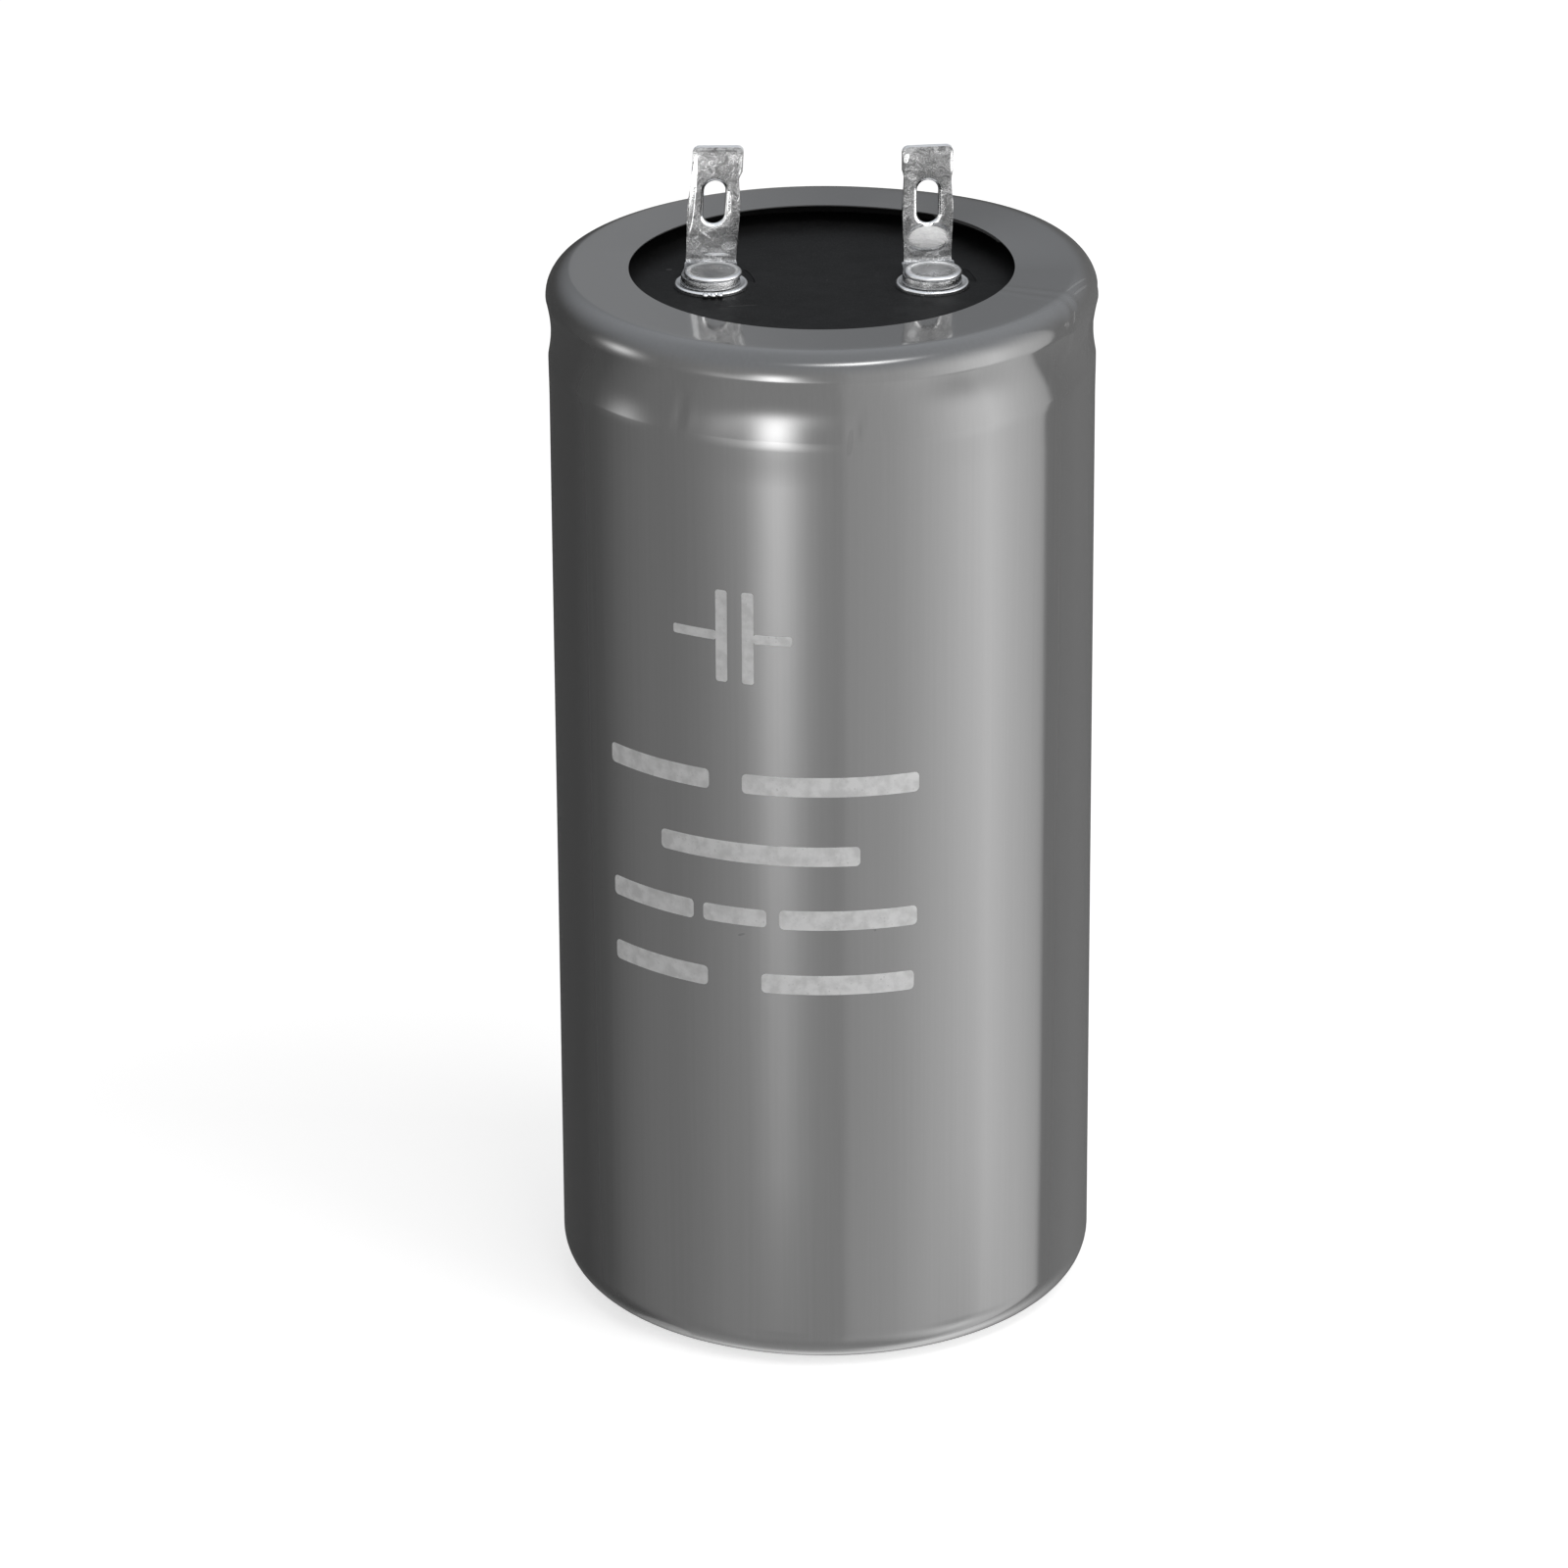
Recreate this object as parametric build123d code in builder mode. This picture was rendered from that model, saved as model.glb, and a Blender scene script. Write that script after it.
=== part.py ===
from build123d import *
import math
import os

# Motor start capacitor: an aluminium can with a beaded and curled mouth, a laminated
# lid with two riveted solder lugs, a roll of foil and paper inside, and a shrunk-on sleeve.
# Millimetres, +Z up, origin at the centre of the base. The two terminals lie along X,
# and the blades of the lugs face -Y.

# Sleeve
BODY_DIAMETER = 50.0        # outside of the sleeve along the straight body
BODY_HEIGHT = 99.7          # base to the top of the rim
SLEEVE_WALL = 0.3
SLEEVE_TOP_OPENING = 35.2   # hole left by the lip that lies over the rim
SLEEVE_BASE_OPENING = 35.0  # hole left by the lip turned under the base
RIM_SWELL = 0.23            # how far the rim stands out beyond the body
RIM_ROUND = 2.1             # radius over the rim
DIP_DEPTH = 0.22            # shallow waist where the sleeve bridges the bead
DIP_DOWN = 6.1              # waist, measured down from the top
DIP_ROUND = 10.0            # radius in which the waist turns
CREASE_SWELL = 0.09         # fine ridge under the waist
CREASE_DOWN = 8.4
CREASE_FADE = 1.2           # length in which the ridge dies away

# Can
CAN_WALL = 0.5
CAN_CORNER = 3.5            # outside radius between the can's side and its bottom
BEAD_WIDTH = 2.4            # height of the rolled groove
BEAD_DEPTH = 2.0
BEAD_ROUND = 0.9            # outside radius at the bottom of the groove
CURL_BITE = 0.2             # how far the curled edge presses into the rubber

# Lid
LID_DROP = 1.9              # lid surface below the top of the rim
RUBBER_THICKNESS = 1.2
BOARD_THICKNESS = 1.8

# Terminals
TERMINAL_SPACING = 20.0
WASHER_DIAMETER = 6.75
WASHER_THICKNESS = 0.45
WASHER_EDGE = 0.12          # bevel of the upper edge
RIVET_HEAD_DIAMETER = 5.3
RIVET_HEAD_THICKNESS = 0.4
RIVET_DISH = 0.08           # hollow in the head
RIVET_BORDER = 0.35         # rounded border around the hollow
RIVET_SHANK_DIAMETER = 3.0
CLINCH_DIAMETER = 5.6       # spread end of the rivet, inside the can
CLINCH_THICKNESS = 0.6
CLINCH_EDGE = 0.25          # bevel of the spread end

# Solder lugs
LUG_RISE = 10.3             # top of the blades above the top of the rim
LUG_THICKNESS = 0.7
LUG_FOOT_WIDTH = 5.3
LUG_SHOULDER = 0.25         # how far the foot stands out on each side of the blade
LUG_BEND = 0.5              # inside radius between foot and blade
BLADE_NECK_WIDTH = 4.3
BLADE_HEAD_WIDTH = 4.65
BLADE_HEAD_LENGTH = 2.4     # from the step in the sides to the tip
BLADE_STEP = 0.6            # height over which the neck widens to the head
BLADE_FLARE = 1.6           # height over which the base narrows to the neck
BLADE_CORNER = 0.6
BLADE_EDGE = 0.15           # bevel of the stamped outline
SHOULDER_RISE = 0.6         # foot plate to the shoulders beside the blade
SLOT_WIDTH = 2.15
SLOT_LENGTH = 4.3
SLOT_TOP_DOWN = 3.15        # top of the slot below the tip
SLOT_EDGE = 0.2             # bevel of the slot
LUG_LEAN = {"left": 3.5, "right": -0.5}  # degrees that each blade leans towards +X
LUG_TURN = {"left": 0.0, "right": 6.5}  # degrees that each lug has turned on its rivet

# Inside
BASE_DISC_THICKNESS = 0.4
INSULATOR_THICKNESS = 1.0
HEADROOM = 0.3              # free height between the upper insulator and the bead
WRAP_THICKNESS = 0.3
WRAP_MARGIN = 2.0           # end of the roll left bare by the tape
MANDREL_DIAMETER = 5.0      # hole left by the winding spindle
TURN_GROOVES = 3            # shallow valleys between the paper turns at each end of the roll
TURN_GROOVE_WIDTH = 0.6
TURN_GROOVE_DEPTH = 0.4
TAB_WIDTH = 4.0
TAB_THICKNESS = 0.25
TAB_END = 3.0               # from the rivet's axis to the tab's free end
TAB_REACH = 4.5             # from the rivet's axis to the fold
TAB_DEPTH = 6.0             # how far a tab goes into the roll
TAB_BEND = 0.8              # inside radius of the fold

# Clearances
SHRINK_GAP = 0.05           # sleeve to can, and tape to roll
LID_GAP = 0.05              # lid to can at the bead, and curled edge to its ring in the rubber
HOLE_GAP = 0.1              # rivet shank to its holes
ROLL_GAP = 0.25             # wrapped roll and card discs to the can
SLIT_GAP = 0.1              # tab to its slits
HEAD_GAP = 0.05             # rivet head to the lug's bend

# Heights
lid_top = BODY_HEIGHT - LID_DROP
board_top = lid_top - RUBBER_THICKNESS
lid_bottom = board_top - BOARD_THICKNESS
washer_top = lid_top + WASHER_THICKNESS
foot_top = washer_top + LUG_THICKNESS
lug_tip = BODY_HEIGHT + LUG_RISE
can_bottom = SLEEVE_WALL + BASE_DISC_THICKNESS
can_floor = can_bottom + CAN_WALL
bead_top = lid_bottom - CAN_WALL
bead_bottom = bead_top - BEAD_WIDTH
roll_bottom = can_floor + INSULATOR_THICKNESS
roll_top = bead_bottom - CAN_WALL - HEADROOM - INSULATOR_THICKNESS
curl_centre = BODY_HEIGHT - RIM_ROUND
crest_height = BODY_HEIGHT - SLEEVE_WALL - SHRINK_GAP
curl_tip_height = lid_top - CURL_BITE

# Radii
body_radius = BODY_DIAMETER / 2
rim_radius = body_radius + RIM_SWELL
can_radius = body_radius - SLEEVE_WALL - SHRINK_GAP
can_rim_radius = rim_radius - SLEEVE_WALL - SHRINK_GAP
can_neck_radius = can_radius - DIP_DEPTH
bead_bottom_radius = can_radius - BEAD_DEPTH
curl_axis_radius = rim_radius - RIM_ROUND
curl_tip_radius = curl_axis_radius - (crest_height - curl_tip_height)
lid_radius = can_neck_radius - CAN_WALL - LID_GAP
sleeve_corner = CAN_CORNER + SLEEVE_WALL + SHRINK_GAP
can_flat_radius = can_radius - CAN_CORNER

# The wrapped roll clears the rounded corner inside the can.
inner_corner = CAN_CORNER - CAN_WALL
corner_rise = max(0.0, inner_corner - (roll_bottom - can_floor))
corner_reach = math.sqrt(inner_corner**2 - corner_rise**2)
wrap_radius = can_flat_radius + corner_reach - ROLL_GAP
roll_radius = wrap_radius - WRAP_THICKNESS - SHRINK_GAP
insulator_radius = can_flat_radius - ROLL_GAP

# Terminals and their leads
head_radius = RIVET_HEAD_DIAMETER / 2
shank_radius = RIVET_SHANK_DIAMETER / 2
clinch_radius = CLINCH_DIAMETER / 2
head_top = foot_top + RIVET_HEAD_THICKNESS
clinch_top = lid_bottom - TAB_THICKNESS
clinch_bottom = clinch_top - CLINCH_THICKNESS
bend_start = head_radius + HEAD_GAP
blade_front = bend_start + LUG_BEND
hole_radius = shank_radius + HOLE_GAP
outward = {"left": -1, "right": 1}
terminals = {side: way * TERMINAL_SPACING / 2 for side, way in outward.items()}
slit_thickness = TAB_THICKNESS + 2 * SLIT_GAP
slit_width = TAB_WIDTH + 2 * SLIT_GAP
slit_centre = TERMINAL_SPACING / 2 + TAB_REACH - TAB_THICKNESS / 2

os.makedirs("parts", exist_ok=True)


# Sleeve, one wall thick all the way from the lip under the base to the lip over the rim
with BuildPart() as shrink_sleeve:
    with BuildSketch(Plane.XZ):
        with BuildLine():
            corner_start = (body_radius - sleeve_corner, 0)
            corner_end = (body_radius, sleeve_corner)
            crease_foot = (body_radius, BODY_HEIGHT - CREASE_DOWN - CREASE_FADE)
            crease = (body_radius + CREASE_SWELL, BODY_HEIGHT - CREASE_DOWN)
            waist = (body_radius - DIP_DEPTH, BODY_HEIGHT - DIP_DOWN)
            rim_side = (rim_radius, curl_centre)
            rim_crest = (curl_axis_radius, BODY_HEIGHT)
            Line((SLEEVE_BASE_OPENING / 2, 0), corner_start)
            TangentArc(corner_start, corner_end, tangent=(1, 0))
            FilletPolyline(corner_end, crease_foot, crease, waist, rim_side, radius=[0, 0, DIP_ROUND])
            TangentArc(rim_side, rim_crest, tangent=(0, 1))
            Line(rim_crest, (SLEEVE_TOP_OPENING / 2, BODY_HEIGHT))
            offset(amount=SLEEVE_WALL, side=Side.LEFT)
        make_face()
    revolve(axis=Axis.Z)
shrink_sleeve.part.label = "shrink_sleeve"
export_step(shrink_sleeve.part, "parts/shrink_sleeve.step")

# Can, drawn as one sheet: bottom, side, rolled bead, flared neck and curled mouth
with BuildPart() as can:
    with BuildSketch(Plane.XZ):
        with BuildLine():
            can_rim = (can_rim_radius, curl_centre)
            can_crest = (curl_axis_radius, crest_height)
            corners = [
                (0, can_bottom),
                (can_radius, can_bottom),
                (can_radius, bead_bottom),
                (bead_bottom_radius, bead_bottom),
                (bead_bottom_radius, bead_top),
                (can_neck_radius, bead_top),
                can_rim,
            ]
            FilletPolyline(*corners, radius=[CAN_CORNER, 0, BEAD_ROUND, BEAD_ROUND, 0])
            TangentArc(can_rim, can_crest, tangent=(0, 1))
            TangentArc(can_crest, (curl_tip_radius, curl_tip_height), tangent=(-1, 0))
            offset(amount=CAN_WALL, side=Side.LEFT)
        make_face()
    revolve(axis=Axis.Z)
can.part.label = "can"
export_step(can.part, "parts/can.step")

# Insulating disc that lies on the sleeve's lower lip, under the can
with BuildPart() as base_disc:
    with BuildSketch(Plane.XY.offset(SLEEVE_WALL)):
        Circle(insulator_radius)
    extrude(amount=BASE_DISC_THICKNESS)
base_disc.part.label = "base_disc"
export_step(base_disc.part, "parts/base_disc.step")

# Lid board, which rests on the bead
with BuildPart() as lid_board:
    with BuildSketch(Plane.XY.offset(lid_bottom)):
        Circle(lid_radius)
        with Locations([(x, 0) for x in terminals.values()]):
            Circle(hole_radius, mode=Mode.SUBTRACT)
    extrude(amount=BOARD_THICKNESS)
lid_board.part.label = "lid_board"
export_step(lid_board.part, "parts/lid_board.step")

# Rubber facing, with the ring that the curled mouth presses into it
with BuildPart() as lid_rubber:
    with BuildSketch(Plane.XY.offset(board_top)):
        Circle(lid_radius)
        with Locations([(x, 0) for x in terminals.values()]):
            Circle(hole_radius, mode=Mode.SUBTRACT)
    extrude(amount=RUBBER_THICKNESS)
    with BuildSketch(Plane.XY.offset(lid_top)):
        Circle(curl_tip_radius + CAN_WALL + LID_GAP)
        Circle(curl_tip_radius - LID_GAP, mode=Mode.SUBTRACT)
    extrude(amount=-(CURL_BITE + LID_GAP), mode=Mode.SUBTRACT)
lid_rubber.part.label = "lid_rubber"
export_step(lid_rubber.part, "parts/lid_rubber.step")


def make_washer(side):
    """Flat washer between the rubber and the foot of one lug."""
    with BuildPart() as washer:
        with BuildSketch(Plane(origin=(terminals[side], 0, lid_top))):
            Circle(WASHER_DIAMETER / 2)
            Circle(hole_radius, mode=Mode.SUBTRACT)
        extrude(amount=WASHER_THICKNESS)
        rim = washer.faces().sort_by(Axis.Z)[-1].outer_wire().edges()
        chamfer(rim, length=WASHER_EDGE)
    washer.part.label = f"washer_{side}"
    export_step(washer.part, f"parts/washer_{side}.step")


def make_lug(side):
    """One strip folded to an L: a foot with a round end and a blade with a slot."""
    x = terminals[side]
    lean = Location((0, 0, 0), (0, 0, -LUG_LEAN[side]))
    turn = math.radians(LUG_TURN[side])
    across = Vector(math.cos(turn), math.sin(turn), 0)
    back = Vector(-math.sin(turn), math.cos(turn), 0)
    up = Vector(0, 0, 1)
    through = Axis((x, 0, 0), back)
    fold_plane = Plane(origin=(x, 0, 0), x_dir=back, z_dir=across)
    foot_plane = Plane(origin=(x, 0, washer_top), x_dir=across, z_dir=up)
    blade_plane = Plane(origin=(x, 0, foot_top), x_dir=across, z_dir=back * -1)
    tip = lug_tip - foot_top
    step = tip - BLADE_HEAD_LENGTH
    neck = step - BLADE_STEP
    base_half = LUG_FOOT_WIDTH / 2 - LUG_SHOULDER
    sides = [
        (base_half, 0),
        (base_half, neck - BLADE_FLARE),
        (BLADE_NECK_WIDTH / 2, neck),
        (BLADE_HEAD_WIDTH / 2, step),
        (BLADE_HEAD_WIDTH / 2, 2 * tip),
    ]
    outline = sides + [(-half, height) for half, height in reversed(sides)]
    slot_centre = tip - SLOT_TOP_DOWN - SLOT_LENGTH / 2
    with BuildPart() as lug:
        with BuildSketch(fold_plane):
            with BuildLine():
                front_end = (-LUG_FOOT_WIDTH / 2, foot_top)
                heel = (blade_front, foot_top)
                FilletPolyline(front_end, heel, (blade_front, lug_tip), radius=LUG_BEND)
                offset(amount=LUG_THICKNESS, side=Side.RIGHT)
            make_face()
        extrude(amount=LUG_FOOT_WIDTH, both=True)
        with BuildSketch(foot_plane):
            Rectangle(4 * LUG_FOOT_WIDTH, 4 * LUG_FOOT_WIDTH)
            Circle(LUG_FOOT_WIDTH / 2, mode=Mode.SUBTRACT)
            with Locations((0, LUG_FOOT_WIDTH)):
                Rectangle(LUG_FOOT_WIDTH, 2 * LUG_FOOT_WIDTH, mode=Mode.SUBTRACT)
            Circle(hole_radius)
        extrude(amount=LUG_THICKNESS + SHOULDER_RISE, mode=Mode.SUBTRACT)
        with BuildSketch(blade_plane):
            with Locations((0, SHOULDER_RISE + tip)):
                Rectangle(4 * LUG_FOOT_WIDTH, 2 * tip)
            with Locations(lean):
                Polygon(*outline, align=None, mode=Mode.SUBTRACT)
        extrude(amount=2 * LUG_FOOT_WIDTH, both=True, mode=Mode.SUBTRACT)
        fillet(lug.edges().filter_by(through).sort_by(Axis.Z)[-2:], radius=BLADE_CORNER)
        blade_faces = lug.faces().filter_by(through).sort_by(Axis.Z)[-2:]
        outer_edges = [edge for face in blade_faces for edge in face.outer_wire().edges()]
        stamped = [edge for edge in outer_edges if edge.center().Z > foot_top + 2 * SHOULDER_RISE]
        chamfer(stamped, length=BLADE_EDGE)
        with BuildSketch(blade_plane):
            with Locations(lean * Location((0, slot_centre, 0))):
                SlotOverall(SLOT_LENGTH, SLOT_WIDTH, rotation=90)
        extrude(amount=2 * LUG_FOOT_WIDTH, both=True, mode=Mode.SUBTRACT)
        blade_faces = lug.faces().filter_by(through).sort_by(Axis.Z)[-2:]
        slot_wires = [wire for face in blade_faces for wire in face.inner_wires()]
        chamfer([edge for wire in slot_wires for edge in wire.edges()], length=SLOT_EDGE)
    lug.part.label = f"lug_{side}"
    export_step(lug.part, f"parts/lug_{side}.step")


def make_rivet(side):
    """Rivet with a shallow dished head, a shank and an end spread over the tab."""
    x = terminals[side]
    with BuildPart() as rivet:
        with BuildSketch(Plane(origin=(x, 0, 0), x_dir=(1, 0, 0), z_dir=(0, -1, 0))):
            with BuildLine():
                floor = (head_radius - 2 * RIVET_BORDER, head_top - RIVET_DISH)
                border = (head_radius - RIVET_BORDER, head_top)
                edge = (head_radius, head_top - RIVET_HEAD_THICKNESS / 2)
                Line((0, floor[1]), floor)
                TangentArc(floor, border, tangent=(1, 0))
                ThreePointArc(border, (head_radius - RIVET_BORDER / 4, head_top - RIVET_DISH), edge)
                Polyline(
                    edge,
                    (head_radius, foot_top),
                    (shank_radius, foot_top),
                    (shank_radius, clinch_top),
                    (clinch_radius, clinch_top),
                    (clinch_radius, clinch_bottom),
                    (0, clinch_bottom),
                    (0, floor[1]),
                )
            make_face()
        revolve(axis=Axis((x, 0, 0), (0, 0, 1)))
        spread = rivet.faces().sort_by(Axis.Z)[0].edges()
        chamfer(spread, length=CLINCH_EDGE)
    rivet.part.label = f"rivet_{side}"
    export_step(rivet.part, f"parts/rivet_{side}.step")


def make_tab(side):
    """Flat lead, clamped under the board by the rivet and folded down into the roll."""
    x = terminals[side]
    way = outward[side]
    with BuildPart() as tab:
        with BuildSketch(Plane(origin=(x, 0, 0), x_dir=(way, 0, 0), z_dir=(0, -way, 0))):
            with BuildLine():
                free_end = (-TAB_END, lid_bottom)
                fold = (TAB_REACH, lid_bottom)
                foot = (TAB_REACH, roll_top - TAB_DEPTH)
                FilletPolyline(free_end, fold, foot, radius=TAB_BEND + TAB_THICKNESS)
                offset(amount=TAB_THICKNESS, side=Side.RIGHT)
            make_face()
        extrude(amount=TAB_WIDTH / 2, both=True)
        with BuildSketch(Plane(origin=(x, 0, lid_bottom))):
            Circle(hole_radius)
        extrude(amount=-2 * TAB_THICKNESS, mode=Mode.SUBTRACT)
    tab.part.label = f"tab_{side}"
    export_step(tab.part, f"parts/tab_{side}.step")


for side in terminals:
    make_washer(side)
    make_lug(side)
    make_rivet(side)
    make_tab(side)

# Roll of foil and paper, with its spindle hole, the valleys between its turns at both
# ends, and the pockets that the tabs go into
with BuildPart() as winding:
    with BuildSketch(Plane.XY.offset(roll_bottom)):
        Circle(roll_radius)
        Circle(MANDREL_DIAMETER / 2, mode=Mode.SUBTRACT)
    extrude(amount=roll_top - roll_bottom)
    turn_pitch = (roll_radius - MANDREL_DIAMETER / 2) / (TURN_GROOVES + 1)
    for height, way in ((roll_top, -1), (roll_bottom, 1)):
        with BuildSketch(Plane.XY.offset(height)):
            for turn in reversed(range(1, TURN_GROOVES + 1)):
                groove_radius = MANDREL_DIAMETER / 2 + turn * turn_pitch
                Circle(groove_radius + TURN_GROOVE_WIDTH / 2)
                Circle(groove_radius - TURN_GROOVE_WIDTH / 2, mode=Mode.SUBTRACT)
        extrude(amount=way * TURN_GROOVE_DEPTH, mode=Mode.SUBTRACT)
    with BuildSketch(Plane.XY.offset(roll_top)):
        with Locations((-slit_centre, 0), (slit_centre, 0)):
            Rectangle(slit_thickness, slit_width)
    extrude(amount=-(TAB_DEPTH + SLIT_GAP), mode=Mode.SUBTRACT)
winding.part.label = "winding"
export_step(winding.part, "parts/winding.step")

# Tape around the roll
with BuildPart() as winding_wrap:
    with BuildSketch(Plane.XY.offset(roll_bottom + WRAP_MARGIN)):
        Circle(wrap_radius)
        Circle(wrap_radius - WRAP_THICKNESS, mode=Mode.SUBTRACT)
    extrude(amount=roll_top - roll_bottom - 2 * WRAP_MARGIN)
winding_wrap.part.label = "winding_wrap"
export_step(winding_wrap.part, "parts/winding_wrap.step")

# Card disc between the can's bottom and the roll
with BuildPart() as bottom_insulator:
    with BuildSketch(Plane.XY.offset(can_floor)):
        Circle(insulator_radius)
    extrude(amount=INSULATOR_THICKNESS)
bottom_insulator.part.label = "bottom_insulator"
export_step(bottom_insulator.part, "parts/bottom_insulator.step")

# Card disc on top of the roll, with a hole over the spindle's and a slit for each tab
with BuildPart() as top_insulator:
    with BuildSketch(Plane.XY.offset(roll_top)):
        Circle(wrap_radius)
        Circle(MANDREL_DIAMETER / 2, mode=Mode.SUBTRACT)
        with Locations((-slit_centre, 0), (slit_centre, 0)):
            Rectangle(slit_thickness, slit_width, mode=Mode.SUBTRACT)
    extrude(amount=INSULATOR_THICKNESS)
top_insulator.part.label = "top_insulator"
export_step(top_insulator.part, "parts/top_insulator.step")
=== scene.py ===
"""Motor start capacitor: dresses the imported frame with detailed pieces, finishes, light and a camera."""

import logging
import math
from dataclasses import dataclass
from enum import Enum
from typing import Any, Callable, Iterable

import bmesh
import bpy
from mathutils import Matrix, Vector


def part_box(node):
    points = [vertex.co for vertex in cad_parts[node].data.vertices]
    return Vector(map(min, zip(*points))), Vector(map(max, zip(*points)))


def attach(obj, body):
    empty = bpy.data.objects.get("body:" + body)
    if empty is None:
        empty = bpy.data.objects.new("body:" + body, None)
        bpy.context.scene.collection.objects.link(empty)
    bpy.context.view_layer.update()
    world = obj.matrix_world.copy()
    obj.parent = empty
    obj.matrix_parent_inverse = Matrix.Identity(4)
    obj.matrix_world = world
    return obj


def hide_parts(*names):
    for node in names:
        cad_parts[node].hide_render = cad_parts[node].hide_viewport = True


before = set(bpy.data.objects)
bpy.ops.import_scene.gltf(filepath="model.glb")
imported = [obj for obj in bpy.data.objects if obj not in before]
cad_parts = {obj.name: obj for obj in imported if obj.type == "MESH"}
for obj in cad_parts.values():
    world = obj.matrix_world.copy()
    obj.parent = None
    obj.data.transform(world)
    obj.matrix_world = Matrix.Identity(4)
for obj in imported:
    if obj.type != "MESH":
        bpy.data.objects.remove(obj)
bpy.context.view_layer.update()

Material = bpy.types.Material
Node = bpy.types.Node
Socket = bpy.types.NodeSocket
Piece = bpy.types.Object
Mesh = bmesh.types.BMesh
Pair = tuple[float, float]
Triple = tuple[float, float, float]
Colour = tuple[float, float, float, float]

LOG = logging.getLogger("capacitor")
MM = 0.001
FULL_TURN = 2 * math.pi
NOISE_SPAN = (0.3, 0.7)


class Finish(Enum):
    """The record's material slot names for the finer pieces; nothing in the script uses them."""

    SLEEVE = "sleeve"
    WASHER = "washer"
    LUG = "lug_tinned"
    RIVET = "rivet"


class Side(Enum):
    """The two terminals, by the sign of their place along X."""

    LEFT = -1
    RIGHT = 1

    @property
    def word(self) -> str:
        """The side's name as the nodes write it."""
        return self.name.lower()


@dataclass(frozen=True)
class Mark:
    """One oval or drawn-out mark on a plane of the object's space, in millimetres.

    Args:
        across: Its middle along the plane's first axis.
        along: Its middle along the second axis.
        turn: Its direction, in degrees from the first axis.
        half_length: Half its length.
        half_width: Half its width.
        strength: How clearly it shows, from 0 to 1.
    """

    across: float
    along: float
    turn: float
    half_length: float
    half_width: float
    strength: float = 1.0


@dataclass(frozen=True)
class Grain:
    """Noise in object space.

    Args:
        scale: Waves per metre, or a value that gives them.
        stretch: Factors for X, Y and Z.
        detail: Octaves.
        rough: Strength of each finer octave.
        twist: How far the noise distorts itself.
    """

    scale: Any
    stretch: Triple = (1, 1, 1)
    detail: float = 3.0
    rough: float = 0.55
    twist: float = 0.0


@dataclass(frozen=True)
class Specks:
    """Scattered specks.

    Args:
        per_metre: Cells per metre.
        size: Size of the specks, as a share of a cell.
        share: Share of the cells that have one.
        strength: How clearly they show, from 0 to 1.
    """

    per_metre: float
    size: float
    share: float
    strength: float


@dataclass(frozen=True)
class Value:
    """A number that a node puts out. Arithmetic with it adds Math nodes."""

    w: "Wiring"
    socket: Socket

    def __add__(self, other: Any) -> "Value":
        """This value and another together."""
        return self.w.math("ADD", self, other)

    def __sub__(self, other: Any) -> "Value":
        """This value less another."""
        return self.w.math("SUBTRACT", self, other)

    def __rsub__(self, other: Any) -> "Value":
        """Another value less this one."""
        return self.w.math("SUBTRACT", other, self)

    def __mul__(self, other: Any) -> "Value":
        """This value times another."""
        return self.w.math("MULTIPLY", self, other)

    def __truediv__(self, other: Any) -> "Value":
        """This value by another."""
        return self.w.math("DIVIDE", self, other)

    def __pow__(self, other: Any) -> "Value":
        """This value to a power."""
        return self.w.math("POWER", self, other)

    def __abs__(self) -> "Value":
        """This value without its sign."""
        return self.w.math("ABSOLUTE", self)

    def __lt__(self, other: Any) -> "Value":
        """1 where this value is below another."""
        return self.w.math("LESS_THAN", self, other)

    def __gt__(self, other: Any) -> "Value":
        """1 where this value is above another."""
        return self.w.math("GREATER_THAN", self, other)

    def __or__(self, other: Any) -> "Value":
        """The greater of this value and another."""
        return self.w.math("MAXIMUM", self, other)


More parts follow.
